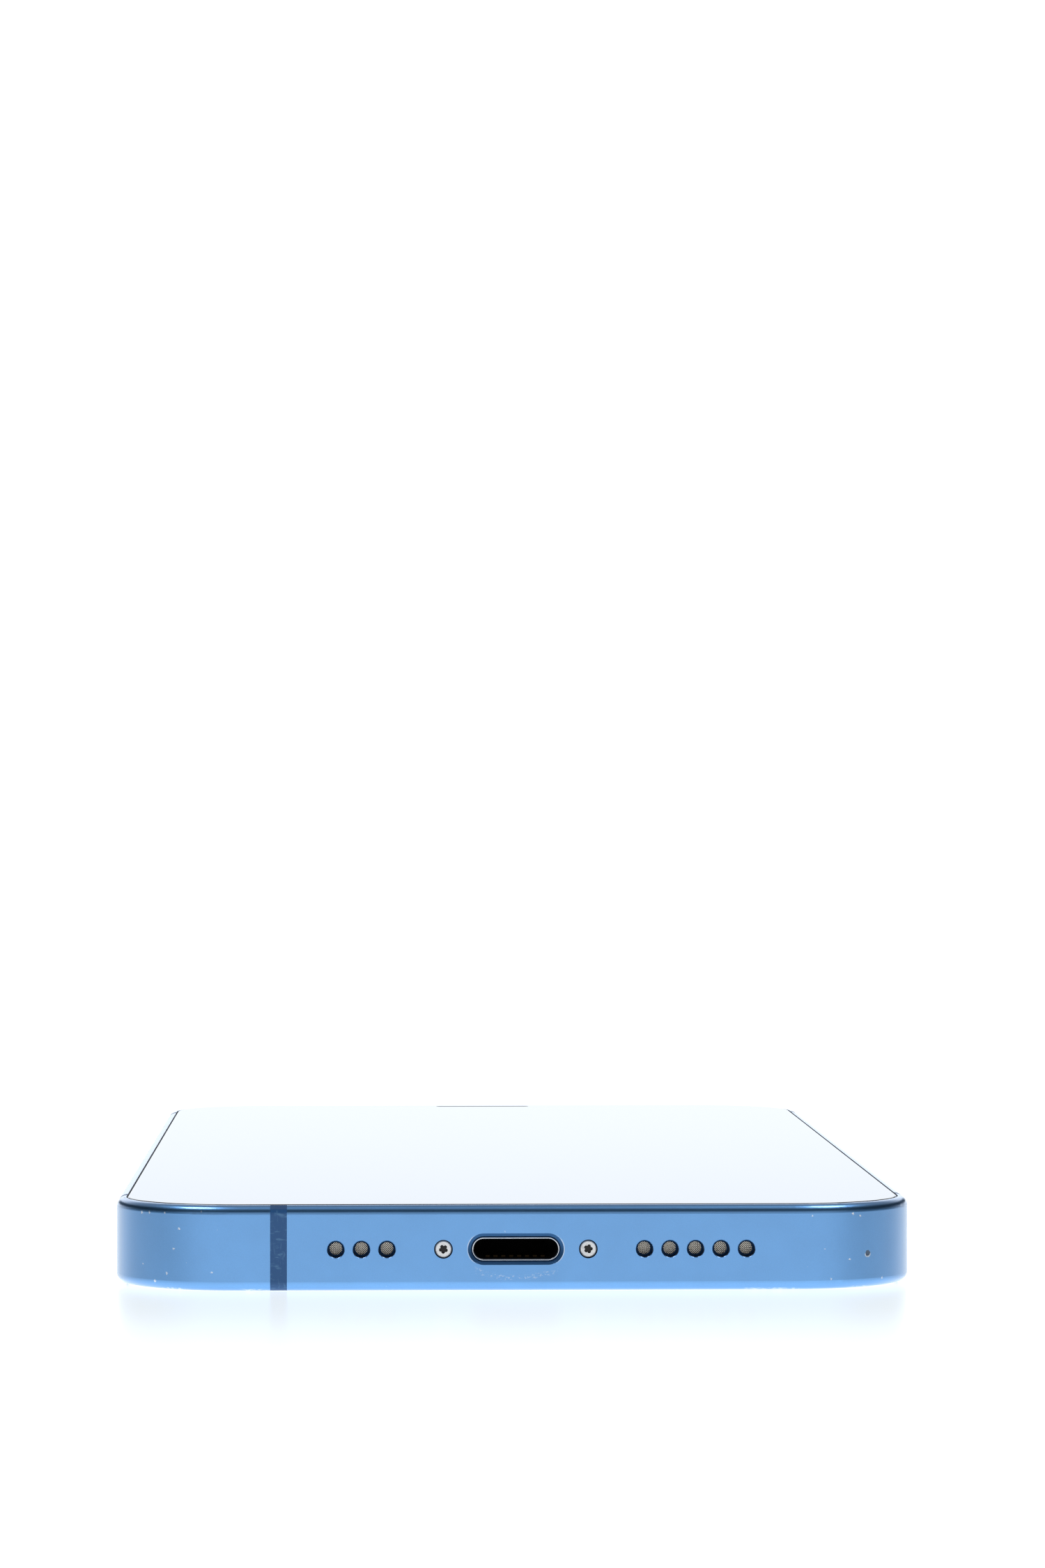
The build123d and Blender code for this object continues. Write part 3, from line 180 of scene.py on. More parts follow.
class Finish(Graph):
    """A material with one Principled surface and the place on the object in millimetres."""

    def __init__(self, name, **constants):
        self.material = bpy.data.materials.new(name)
        self.material.use_nodes = True
        super().__init__(self.material.node_tree)
        named = {socket_name(key): value for key, value in constants.items()}
        self.shader = self.put("ShaderNodeBsdfPrincipled", None, named)
        output = self.put("ShaderNodeOutputMaterial")
        self.tree.links.new(self.shader.outputs[0], output.inputs[0])
        place = self.put("ShaderNodeTexCoord")
        scale = {"operation": "SCALE"}
        inputs = {0: self.out(place, "Object"), "Scale": 1000.0}
        self.where = self.out(self.put("ShaderNodeVectorMath", scale, inputs))
        split = self.put("ShaderNodeSeparateXYZ", None, {0: self.where})
        self.x, self.y, self.z = (self.out(split, i) for i in range(3))

    def set(self, **varying):
        """Links or sets the shader's sockets by name."""
        for key, value in varying.items():
            socket = self.shader.inputs[socket_name(key)]
            if isinstance(value, Value):
                self.tree.links.new(value.socket, socket)
            else:
                socket.default_value = value

    def stretch(self, x=1.0, y=1.0, z=1.0, turn=0.0):
        """The place, turned about Y and scaled along the axes, for grain that runs one way."""
        inputs = {0: self.where, "Scale": (x, y, z), "Rotation": (0, turn, 0)}
        return self.out(self.put("ShaderNodeMapping", None, inputs))

    def noise(self, per_mm, detail=2.0, place=None, roughness=0.5):
        """Soft clouds between 0 and 1, with a given number of them to a millimetre."""
        inputs = {0: place or self.where, "Scale": per_mm, "Detail": detail, "Roughness": roughness}
        return self.out(self.put("ShaderNodeTexNoise", None, inputs), 0)

    def cells(self, per_mm, place=None, feature="F1"):
        """Irregular cells: 0 at each cell's middle, or at its edge with DISTANCE_TO_EDGE."""
        inputs = {0: place or self.where, "Scale": per_mm}
        return self.out(self.put("ShaderNodeTexVoronoi", {"feature": feature}, inputs), 0)

    def bump(self, height, depth_mm, strength=1.0):
        """Gives the surface a relief: height from 0 to 1 stands for depth_mm."""
        inputs = {"Height": height, "Distance": depth_mm / 1000, "Strength": strength}
        relief = self.put("ShaderNodeBump", None, inputs)
        self.tree.links.new(relief.outputs[0], self.shader.inputs["Normal"])
        return self

    def distance_to(self, x, y, z):
        """How far a point of the surface is from a place, in millimetres."""
        return (square(self.x - x) + square(self.y - y) + square(self.z - z)).root()


def square(value):
    return value * value


def off_axis(place, axis):
    """How far a place is from a straight axis, both given by the two coordinates across it."""
    return (square(place[0] - axis[0]) + square(place[1] - axis[1])).root()


def wear(finish, *names):
    """Dresses CAD nodes in a finish, through their material slots."""
    for name in names:
        for slot in nodes[name].material_slots:
            slot.material = finish.material
    print(finish.material.name, "on", ", ".join(names))


print("finishes can be made")

# %% [markdown]
# ## Sizes read from the frame
#
# The studio and the wear marks need to know where the phone's faces are. They could be typed in
# again, but then a change in the CAD model would leave them behind. So they are read from the
# pieces' boxes, and only the corner's radius and the spacing of the sound holes, which no box
# gives, are repeated here.

# %% Sizes
MM = 1000
body_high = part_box("chassis")[1]
end_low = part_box("bottom_band")[0]
ring_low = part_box("lens_rings")[0]
port_low, port_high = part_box("port_shell")

HALF_WIDTH_MM = body_high.x * MM
END_Y_MM = end_low.y * MM
AXIS_Z_MM = (port_low.z + port_high.z) / 2 * MM
CORNER_R_MM = 11.0
HOLE_PITCH_MM = 2.26
FIRST_HOLE_MM = 11.4  # from the port's middle to the nearest sound hole on either side
print("half width", round(HALF_WIDTH_MM, 2), "end", round(END_Y_MM, 2), "axis", round(AXIS_Z_MM, 2))


def on_band(x_mm, z_mm):
    """A point on the bottom end's outer face or on its rounded corners."""
    past = abs(x_mm) - (HALF_WIDTH_MM - CORNER_R_MM)
    if past <= 0:
        return x_mm, END_Y_MM, z_mm
    return x_mm, END_Y_MM + CORNER_R_MM - sqrt(max(CORNER_R_MM**2 - past**2, 0)), z_mm


# %% [markdown]
# ## The camera
#
# A long lens, level and close to the table, looks straight at the bottom end and a little along
# the left side. A wide lens nearer by would frame the same piece, but it would shrink the far end
# and look into the outer holes at a slant. A long one keeps all holes alike, and the low place
# makes the display a thin bright strip.

# %% Camera
CAMERA_MM = (-12.7, -543.0, 44.85)
LENS_MM = 122.0
YAW = radians(-1.62)

camera_data = bpy.data.cameras.new("studio_camera")
camera_data.lens = LENS_MM
camera_data.sensor_width = 36.0
camera_data.clip_start = 0.01
camera = bpy.data.objects.new("studio_camera", camera_data)
camera.location = Vector(CAMERA_MM) / MM
camera.rotation_euler = (radians(90), 0, YAW)
bpy.context.scene.collection.objects.link(camera)
bpy.context.scene.camera = camera
print("camera", [round(c, 4) for c in camera.location])

# %% [markdown]
# ## The studio
#
# Metal is only as good as what it reflects. The phone stands in a white tent: bright behind, where
# the display mirrors it, softer in front, dimmer overhead, and darker on both flanks, which shades
# the band's round corners. One dark seam arcs over the tent. It draws the thin dark line along the
# band's rounded top edge. Lamps and cards around the phone could do this too, but they would show
# in one another, so the tent is one sum of soft masks on the direction that light comes from.

# %% World
FRONT_LIGHT = 0.58
BACK_LIGHT = 0.82
FRONT_LOSS, FLANK_LOSS, OVERHEAD_LOSS, SEAM_LOSS = 0.15, 0.92, 0.45, 0.97
TENT_WHITE = (0.98, 0.99, 1.0)
BACK_TINT = (0.875, 0.93, 1.0)

world = bpy.data.worlds.new("white_tent")
world.use_nodes = True
bpy.context.scene.world = world
sky = Graph(world.node_tree)
towards = sky.out(sky.put("ShaderNodeTexCoord"), "Generated")
direction = sky.put("ShaderNodeSeparateXYZ", None, {0: towards})
side, away, up = (sky.out(direction, i) for i in range(3))
behind = away.rise(0.72, 0.985)
front = 1 - away.rise(-0.9, 0.1) * FRONT_LOSS
flank = abs(side).rise(0.55, 0.97) * away.rise(0.9, 0.4)
# How far upwards a face has to lean to mirror this direction to someone in front of the phone.
height = up / ((1 - away) * 2).root().most(0.05)
seam = height.rise(0.14, 0.28) * height.rise(0.60, 0.46) * away.rise(0.985, 0.95)
overhead = height.rise(0.45, 0.6) * up.rise(0.3, 0.6)
light = FRONT_LIGHT * front * (1 - flank * FLANK_LOSS) + behind * BACK_LIGHT
light = light * (1 - overhead * OVERHEAD_LOSS) * (1 - seam * SEAM_LOSS)
tint = sky.mix(TENT_WHITE, BACK_TINT, behind)
lit = sky.put("ShaderNodeBackground", None, {"Color": tint, "Strength": light})
sky.tree.links.new(lit.outputs[0], sky.put("ShaderNodeOutputWorld").inputs[0])
print("white tent with one dark seam")

# %% [markdown]
# ## The light table
#
# The phone lies on a sheet of pale acrylic that is lit from below. A plain white floor under strong
# lamps would do, but its shadow would be grey. A lit sheet gives no shadow, only a soft mirror image
# of the blue band in its polished skin, so the surface is matt, glows, and has a coat over it. It
# leans a little, because the phone rests on its camera rings and the edge of its bottom end.

# %% Floor
EDGE_ROUND = 0.0007
FLOOR_GAP = 0.00008  # keeps the resting edge out of the floor
rest_edge = Vector((0, end_low.y + EDGE_ROUND, end_low.z))
ring_edge = Vector((0, ring_low.y, ring_low.z))
lean = atan2(ring_edge.z - rest_edge.z, ring_edge.y - rest_edge.y)
FLOOR_SIZE = 6.0

bpy.ops.mesh.primitive_plane_add(size=FLOOR_SIZE)
floor = bpy.context.object
floor.name = "studio_floor"
floor.rotation_euler = (lean, 0, 0)
floor.location = rest_edge - Vector((0, 0, FLOOR_GAP))
floor_finish = Finish("light_table_acrylic", roughness=0.5, coat_weight=1.0, coat_ior=1.42)
cloud = floor_finish.noise(0.004)
pale = floor_finish.mix((0.28, 0.30, 0.32), (0.31, 0.32, 0.33), cloud)
floor_finish.set(base_color=pale, coat_roughness=0.24, specular_ior_level=0.0)
floor_finish.set(emission_color=(0.93, 0.985, 1.0, 1.0), emission_strength=1.25)
floor.data.materials.append(floor_finish.material)
print("floor leans by", round(lean * 180 / pi, 2), "degrees")


# %% [markdown]
# ## Two glints
#
# Each sound hole and the rim of each screw carry two small highlights, one to each side. They are
# too small to come from the tent. Small lamps close by would do it with harsh edges, so two square
# softboxes hang above the phone, left and right, weak enough to leave the rest of the light alone.


# %% Softboxes
SOFTBOX_SIZE = 0.14
SOFTBOX_WATTS = 0.45


def softbox(name, place_mm):
    """A square soft light that points at the phone's bottom end."""
    data = bpy.data.lights.new(name, "AREA")
    data.shape = "SQUARE"
    data.size = SOFTBOX_SIZE
    data.energy = SOFTBOX_WATTS
    lamp = bpy.data.objects.new(name, data)
    lamp.location = Vector(place_mm) / MM
    aim = Vector((0, end_low.y, AXIS_Z_MM / MM)) - lamp.location
    lamp.rotation_euler = aim.to_track_quat("-Z", "Y").to_euler()
    bpy.context.scene.collection.objects.link(lamp)


softbox("left_overhead_softbox", (-190, -60, 440))
softbox("right_overhead_softbox", (190, -60, 440))
print("two softboxes overhead")

# %% [markdown]
# ## Anodised aluminium
#
# The band is aluminium that was bead blasted and then dyed blue, so it is a metal with a fine grain
# and a soft sheen. The wear is what makes it look used: the dye is chipped to pale metal along the
# rounded corners, plugs that missed the port have left an arc of pale flecks below it, and the
# lower edge has been rubbed where it lies on tables. Wear can be painted on a map by hand. Here
# each mark is a distance from a named place, so it has a true size and can be moved by a number.

# %% Where the metal is worn
BLUE = (0.138, 0.360, 0.720)
BARE_METAL = (0.82, 0.86, 0.92)
CORNER_CHIPS = [  # x and z of a chip on the bottom end, and its radius, in millimetres
    (-33.2, 6.75, 0.13),
    (-32.5, 6.8, 0.10),
    (-31.1, 6.85, 0.08),
    (-27.8, 7.1, 0.09),
    (-29.8, 5.5, 0.11),
    (-30.3, 3.7, 0.10),
    (-30.9, 1.5, 0.11),
    (-32.0, 0.75, 0.13),
    (-33.1, 2.2, 0.07),
    (-26.9, 1.7, 0.08),
    (26.3, 6.6, 0.07),
    (30.0, 6.7, 0.12),
    (30.7, 6.45, 0.08),
    (27.4, 3.65, 0.06),
    (29.7, 2.65, 0.10),
    (28.0, 0.95, 0.09),
    (32.8, 0.8, 0.11),
]
PLUG_ARC_MM = (5.8, 3.2, 4.4)  # half width, depth and level of the arc below the port
EDGE_RUBS = [(-23.2, 1.0), (22.7, 2.4), (-30.2, 1.2), (30.6, 0.8)]  # middle and half length
DING = (31.4, 3.1, 0.36)  # x, z and radius of the one deep dent
MOUTH_R_MM = 1.41  # outer edge of the chamfer around the port, from the port's middle line
HOLES_LEVEL_MM = (1.15, 6.25)  # every hole of the bottom end lies between these levels
HOLES_REACH_MM = 23.5  # and no further out than this
# Painted shade: the colour down inside the holes, where little light comes back out.
HOLE_PAINTED_SHADE = (0.004, 0.011, 0.032)
# Painted shade: the darker blue of the chamfer around the port.
CHAMFER_PAINTED_SHADE = (0.045, 0.130, 0.290)
DENT_SHADE = (0.05, 0.09, 0.16)
print(len(CORNER_CHIPS), "chips, one ding and", len(EDGE_RUBS), "rubbed stretches")


# %% Chips, rubbed edge and ding
def chipped(finish):
    """1 on the chips, with ragged edges."""
    ragged = finish.noise(9.0, 3.0) * 0.3
    marks = None
    for x, z, radius in CORNER_CHIPS:
        near = (finish.distance_to(*on_band(x, z)) + ragged).rise(radius + 0.19, radius + 0.07)
        marks = near if marks is None else marks.most(near)
    return marks


def edge_rub(finish):
    """Short rubbed stretches along the band's lower outer edge."""
    low = finish.z.rise(0.30, 0.12)
    broken = finish.noise(4.5, 3.0, finish.stretch(0.4, 1, 2.0)).rise(0.50, 0.62)
    stretches = None
    for middle, half_long in EDGE_RUBS:
        near = abs(finish.x - middle).rise(half_long + 0.4, half_long - 0.4)
        stretches = near if stretches is None else stretches.most(near)
    return low * stretches * broken


def ding(finish):
    """Distance from the middle of the deep dent, and a painted highlight on the rim's lower side."""
    x, z, radius = DING
    far = finish.distance_to(*on_band(x, z)) + finish.noise(5.0) * 0.12 - 0.06
    rim = far.rise(radius + 0.04, radius - 0.04) * far.rise(radius - 0.16, radius - 0.06)
    lower_side = finish.z.rise(z + 0.1, z - 0.2)
    return far, rim * lower_side


def specks(finish):
    """Tiny pale specks, scattered thinly everywhere."""
    return finish.noise(2.6, 4.0).rise(0.765, 0.80)


print("marks on the faces and edges ready")

# %% [markdown]
# ## Around the port and in the holes
#
# A plug that misses its port scratches the face below in an arc. The chamfer around the port is
# painted a darker blue, as painted shade, and made rougher. The chamfer follows the port's rounded
# slot, so its mark is a distance from the slot's middle line. Down inside the holes hardly any light
# comes back out. Cycles finds that by itself with many bounces and samples, but a finish painted
# darker with depth, a painted shade, gives it sooner and without noise.


# %% Marks around the port
def port_distance(finish):
    """Distance outwards from the middle line of the port's rounded slot."""
    half_line = (port_high.x - port_low.x - port_high.z + port_low.z) / 2 * MM
    beyond = (abs(finish.x) - half_line).most(0.0)
    return (square(beyond) + square(finish.z - AXIS_Z_MM)).root()


def plug_flecks(finish):
    """Pale flecks in an arc below the port, and a thin worn line around its mouth."""
    wide, deep, level = PLUG_ARC_MM
    out = port_distance(finish)
    on_end = finish.y.rise(END_Y_MM + 0.15, END_Y_MM + 0.05)
    across = square(finish.x / wide)
    down = square((finish.z - level) / deep)
    off_arc = abs((across + down).root() - 1)
    arc = off_arc.rise(0.10, 0.02) * abs(finish.x).rise(4.0, 3.2) * finish.z.rise(2.8, 2.2)
    flecks = finish.noise(7.0, 3.0, finish.stretch(0.8, 1, 1.2, 0.5)).rise(0.52, 0.68)
    mouth = out.rise(MOUTH_R_MM - 0.03, MOUTH_R_MM + 0.01) * out.rise(MOUTH_R_MM + 0.09, MOUTH_R_MM + 0.03)
    ends = abs(finish.x).rise(3.4, 4.1) * finish.noise(0.7, 2.0).rise(0.3, 0.55)
    return (arc * flecks * 0.34).most(mouth * ends * 0.6) * on_end


def inside_holes(finish):
    """0 on the band's outer face and 1 a little way into the holes of the bottom end."""
    low, high = HOLES_LEVEL_MM
    level = finish.z.rise(low - 0.15, low + 0.15) * finish.z.rise(high + 0.15, high - 0.15)
    near_holes = level * abs(finish.x).rise(HOLES_REACH_MM + 0.5, HOLES_REACH_MM - 0.5)
    in_port = port_distance(finish).rise(MOUTH_R_MM + 0.04, MOUTH_R_MM - 0.01)
    in_holes = finish.y.rise(END_Y_MM + 0.04, END_Y_MM + 0.25) * (1 - in_port)
    down_port = finish.y.rise(END_Y_MM + 0.3, END_Y_MM + 0.5) * in_port
    return in_holes.most(down_port) * near_holes


def port_mouth(finish):
    """1 on the chamfer around the port, where the finish paints shade and makes it rougher."""
    on_slot = port_distance(finish).rise(MOUTH_R_MM + 0.03, MOUTH_R_MM - 0.03)
    return on_slot * finish.y.rise(END_Y_MM, END_Y_MM + 0.02)


print("marks around the port ready")

# %% [markdown]
# ## One dye, four finishes
#
# Band, buttons, tray and lens rings are dyed in the same bath, so they share one recipe: a grainy
# metal under a clear, slightly rough coat, which is the sealed oxide. A plain blue metal would look
# like foil. Only the bottom end carries the placed marks, since the others would waste nodes on them.


# %% Anodised finish
def anodised(name, colour, roughness, with_wear_and_painted_light):
    """Bead-blasted, dyed aluminium. Only the bottom end carries the placed wear marks, painted shade and
    highlight.
    """
    finish = Finish(name, metallic=1.0, coat_weight=1.0, coat_ior=1.6, coat_roughness=0.16)
    grain = finish.noise(11.0, 4.0, None, 0.6)
    blotch = finish.noise(0.35, 2.0)
    darker = tuple(c * 0.84 for c in colour)
    lighter = tuple(min(c * 1.14, 1) for c in colour)
    dyed = finish.mix(darker, lighter, blotch * 0.4 + grain * 0.6)
    hairlines = finish.noise(3.0, 2.0, finish.stretch(0.15, 1, 3.0, 0.6)).rise(0.70, 0.74)
    bare_metal_and_highlight = specks(finish) * 0.5
    height = grain * 0.5 - hairlines * 0.2
    if with_wear_and_painted_light:
        deep = inside_holes(finish)
        mouth = port_mouth(finish)
        # Painted shade: the port's chamfer is painted a darker blue.
        dyed = finish.mix(dyed, CHAMFER_PAINTED_SHADE, mouth * 0.8)
        # Painted shade: the holes are painted nearly black with depth.
        dyed = finish.mix(dyed, HOLE_PAINTED_SHADE, deep * 0.97)
        roughness = roughness + mouth * 0.25
        finish.set(coat_weight=1 - deep.most(mouth))
        worn = chipped(finish).most(plug_flecks(finish)).most(edge_rub(finish) * 0.7)
        far, rim = ding(finish)
        radius = DING[2]
        # Painted shade inside the dent.
        dyed = finish.mix(dyed, DENT_SHADE, far.rise(radius - 0.04, radius - 0.12))
        # Painted highlight: the dent's rim is made pale on its lower side only.
        bare_metal_and_highlight = bare_metal_and_highlight.most(worn).most(rim * 0.8)
        height = height - worn * 0.5 - far.rise(radius, 0.1) * 2.0
    finish.set(base_color=finish.mix(dyed, BARE_METAL, bare_metal_and_highlight.least(1.0)))
    finish.set(roughness=roughness + grain * 0.06 + bare_metal_and_highlight * 0.12)
    return finish.bump(height, 0.012, 0.55)


band_metal = anodised("anodised_band_worn_and_shaded", BLUE, 0.30, True)
wear(band_metal, "bottom_band", "bottom_corner_band")
side_metal = anodised("anodised_band", BLUE, 0.30, False)
wear(side_metal, "chassis", "top_band", "top_corner_band", "sim_tray")
button_metal = anodised("anodised_buttons", tuple(c * 1.05 for c in BLUE), 0.24, False)
wear(button_metal, "volume_up_button", "volume_down_button", "side_button", "ring_switch")
ring_metal = anodised("polished_lens_rings", (0.17, 0.36, 0.64), 0.12, False)
wear(ring_metal, "lens_rings")

# %% [markdown]
# ## Antenna plastic
#
# A radio wave doesn't pass through metal, so the band is cut and joined again by moulded plastic.
# It is softer than the metal and takes fine scratches that show as lighter flecks. Straight hairs
# would need a curve for each. Two stretched noises, turned against each other, give crossing
# scuffs of the same kind for the price of two nodes.

# %% Antenna plastic
plastic = Finish("navy_antenna_plastic", ior=1.45)
scratch_place = plastic.stretch(0.5, 1, 1.6, 0.9)
fine_marks = plastic.noise(2.2, 3.0, scratch_place, 0.6).rise(0.56, 0.74)
cross_marks = plastic.noise(2.0, 3.0, plastic.stretch(1.8, 1, 0.5, -0.5), 0.6).rise(0.58, 0.76)
marks = fine_marks.most(cross_marks * 0.7)
plastic.set(base_color=plastic.mix((0.018, 0.090, 0.250), (0.10, 0.23, 0.42), marks * 0.7))
plastic.set(roughness=0.42 + marks * 0.2)
plastic.bump(plastic.noise(12.0, 2.0) - marks * 0.5, 0.01, 0.5)
wear(plastic, "bottom_antenna_insert", "top_antenna_insert")

# %% [markdown]
# ## Glass
#
# The display is dark glass: black ink around the edge and, inside it, a panel that is a little
# less black. It could be clear glass over a black panel, but the panel is off, so nothing would be
# gained by light passing through. Its strength is its reflection, so it is very smooth, with faint
# finger grease that only changes the roughness.

# %% Display glass
panel_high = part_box("display_panel")[1]
PANEL_CORNER_MM = 7.6
NOTCH_DEEP_MM = 5.15
NOTCH_HALF_MM = 17.5


def rounded_box_distance(finish, half_x, half_y, corner):
    """Distance outside a rounded rectangle around the origin, and negative inside it."""
    past_x = abs(finish.x) - (half_x - corner)
    past_y = abs(finish.y) - (half_y - corner)
    return (square(past_x.most(0.0)) + square(past_y.most(0.0))).root() - corner


display = Finish("display_glass", ior=1.52, coat_roughness=0.01, coat_weight=0.5)
inside = rounded_box_distance(display, panel_high.x * MM, panel_high.y * MM, PANEL_CORNER_MM)
notch_edge = panel_high.y * MM - NOTCH_DEEP_MM
beyond_edge = display.y.rise(notch_edge - 0.05, notch_edge + 0.05)
in_notch = beyond_edge * abs(display.x).rise(NOTCH_HALF_MM + 0.1, NOTCH_HALF_MM - 0.1)
lit_area = inside.rise(0.05, -0.05) * (1 - in_notch)
grease = display.noise(0.09, 4.0, display.stretch(1, 0.6, 1)).rise(0.45, 0.75)
swipes = display.noise(0.5, 3.0, display.stretch(3.0, 0.25, 1)).rise(0.5, 0.8)
display.set(base_color=display.mix((0.0012, 0.0012, 0.0014), (0.0045, 0.005, 0.007), lit_area))
display.set(roughness=0.02 + grease * 0.03 + swipes * 0.02)
wear(display, "front_glass")

# %% [markdown]
# ## The painted back and the clear covers
#
# The back is one sheet of glass with blue paint behind it. Its raised camera bump is etched matt.
# That could be a second piece with its own finish, but it is one sheet, so a mask in the shader
# tells the bump by its height. The covers over the lenses and the flash are the only glass here
# that light has to pass through, so only they transmit it.

# %% Back glass
back = Finish("painted_back_glass", ior=1.5, coat_roughness=0.015)
on_bump = back.z.rise(-0.02, -0.06)
frost = back.noise(14.0, 2.0)
sheen = back.noise(0.02, 1.0)
back.set(base_color=back.mix((0.075, 0.205, 0.430), (0.090, 0.235, 0.470), sheen))
back.set(roughness=0.05 + on_bump * (0.33 + frost * 0.08), coat_weight=1 - on_bump)
back.bump(frost * on_bump, 0.006, 0.4)
wear(back, "back_glass")

# %% Clear glass
clear = Finish("clear_cover_glass", ior=1.5, transmission_weight=1.0)
dust = clear.noise(6.0, 3.0).rise(0.72, 0.76)
clear.set(base_color=clear.mix((0.97, 0.98, 1.0), (0.7, 0.72, 0.75), dust * 0.3))
clear.set(roughness=0.01 + dust * 0.15)
wear(clear, "lens_covers")

window = Finish("flash_window_glass", ior=1.5, transmission_weight=0.8)
flash_low, flash_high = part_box("flash_window")
FLASH_X_MM, FLASH_Y_MM, _ = (flash_low + flash_high) / 2 * MM
from_flash = off_axis((window.x, window.y), (FLASH_X_MM, FLASH_Y_MM))
ridges = (from_flash * 14.0).maths("SINE")
window.set(base_color=window.mix((0.95, 0.93, 0.85), (0.99, 0.97, 0.88), ridges * 0.5 + 0.5))
window.set(roughness=0.12 + window.noise(5.0) * 0.05)
window.bump(ridges, 0.05, 0.6)
wear(window, "flash_window")

# %% [markdown]
# ## Seals, lenses and black plastics
#
# Behind the shiny faces sit quiet materials. Each still has its own surface, so one flat black
# for all would be wrong: rubber is dull and slightly dusty, a lens barrel is ribbed to stop stray
# light, and a lens has a thin coating that tints what it reflects. The ribs are a sine of the
# distance from the lens's axis, which makes true rings without a single extra face.


# %% Dark materials
def moulded(name, colour, roughness, grain_per_mm=9.0, depth_mm=0.01):
    """Moulded plastic or rubber with a fine spark-eroded grain."""
    finish = Finish(name, ior=1.48)
    grain = finish.noise(grain_per_mm, 3.0)
    cloud = finish.noise(0.5, 2.0)
    lighter = tuple(c * 1.35 + 0.004 for c in colour)
    finish.set(base_color=finish.mix(colour, lighter, cloud * 0.7 + grain * 0.3))
    finish.set(roughness=roughness + grain * 0.12)
    return finish.bump(grain, depth_mm, 0.5)


rubber = moulded("seal_rubber", (0.006, 0.006, 0.007), 0.55)
wear(rubber, "display_gasket", "tray_seal")
black = moulded("black_moulding", (0.012, 0.012, 0.013), 0.4)
wear(black, "display_frame", "earpiece_speaker", "face_sensors", "front_camera", "loudspeaker")
wear(black, "port_housing", "button_switches", "ring_switch_base", "bottom_microphone")
wear(moulded("orange_mark_plastic", (0.85, 0.19, 0.01), 0.45), "silent_mark")

wide_low, wide_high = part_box("wide_lens_barrel")
ultrawide_low, ultrawide_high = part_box("ultrawide_lens_barrel")
LENS_X_MM = (wide_low.x + wide_high.x) / 2 * MM
WIDE_Y_MM = (wide_low.y + wide_high.y) / 2 * MM
ULTRAWIDE_Y_MM = (ultrawide_low.y + ultrawide_high.y) / 2 * MM

for label, middle_y in (("wide", WIDE_Y_MM), ("ultrawide", ULTRAWIDE_Y_MM)):
    barrel = Finish(label + "_barrel_black", ior=1.45)
    out = off_axis((barrel.x, barrel.y), (LENS_X_MM, middle_y))
    ribs = (out * 24.0).maths("SINE")
    barrel.set(base_color=barrel.mix((0.004, 0.004, 0.004), (0.014, 0.014, 0.015), ribs * 0.5 + 0.5))
    barrel.set(roughness=0.5 + barrel.noise(8.0) * 0.1)
    barrel.bump(ribs, 0.03, 0.7)
    wear(barrel, label + "_lens_barrel")
    coated = Finish(label + "_coated_lens", ior=1.7, coat_weight=1.0, coat_roughness=0.0)
    out = off_axis((coated.x, coated.y), (LENS_X_MM, middle_y))
    # Painted shade: the middle of the lens, where the dark inside of the camera shows, is painted darker.
    pupil = out.rise(1.5, 1.1)
    tint_and_pupil_shade = coated.mix((0.012, 0.010, 0.030), (0.001, 0.001, 0.003), pupil)
    coated.set(base_color=tint_and_pupil_shade, roughness=0.02 + coated.noise(0.8) * 0.01)
    coated.set(coat_tint=(0.62, 0.72, 1.0, 1.0))
    wear(coated, label + "_front_lens")

# %% [markdown]
# ## Steel parts
#
# Rolled sheet, drawn cans, springs and magnets are all steel or look like it. One recipe with a
# colour, a roughness and a direction of brushing serves them all, because that is all that tells
# them apart. A shared plain grey would be shorter, but no two of them are worked the same way.


# %% Steel
def steel(name, colour=(0.62, 0.62, 0.63), roughness=0.28, along=(0.2, 1.0, 1.0)):
    """Rolled or stamped steel, brushed along one direction."""
    finish = Finish(name, metallic=1.0)
    lines = finish.noise(10.0, 3.0, finish.stretch(*along))
    stain = finish.noise(0.4, 2.0)
    darker = tuple(c * 0.82 for c in colour)
    finish.set(base_color=finish.mix(darker, colour, lines * 0.5 + stain * 0.5))
    finish.set(roughness=roughness + lines * 0.12)
    return finish.bump(lines, 0.004, 0.4)


wear(steel("stamped_steel"), "camera_bracket", "display_shield", "sensor_bracket", "connector_covers")
wear(steel("drawn_steel_cans", (0.66, 0.65, 0.62), 0.24), "board_shields", "camera_housings")
wear(steel("reader_steel", (0.6, 0.61, 0.62), 0.3), "sim_reader", "eject_rod", "haptic_case")
wear(steel("spring_steel", (0.5, 0.5, 0.52), 0.22), "haptic_springs", "loudspeaker_driver")
wear(steel("nickel_magnets", (0.63, 0.61, 0.57), 0.2), "magnet_ring")
wear(steel("sintered_tungsten", (0.3, 0.3, 0.31), 0.45, (1, 1, 1)), "haptic_mass")

# %% [markdown]
# ## The two screws
#
# A screw's head is turned and tumbled, so it is bright with faint rings, and its recess is painted
# darker, as painted shade. The CAD model has the recess, so the finish only needs to know how deep a
# point lies. The rim is rounded and catches light from all around. A bevel would add faces for that,
# so the finish makes the rim paler and less of a mirror instead, as a painted highlight.

# %% Screws
screw_low, screw_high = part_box("bottom_screws")
SCREW_R_MM = (screw_high.z - screw_low.z) / 2 * MM
SCREW_X_MM = (screw_high.x - SCREW_R_MM / MM) * MM
screw = Finish("tumbled_screw_steel", metallic=1.0)
out = off_axis((abs(screw.x), screw.z), (SCREW_X_MM, AXIS_Z_MM))
turned = (out * 70.0).maths("SINE")
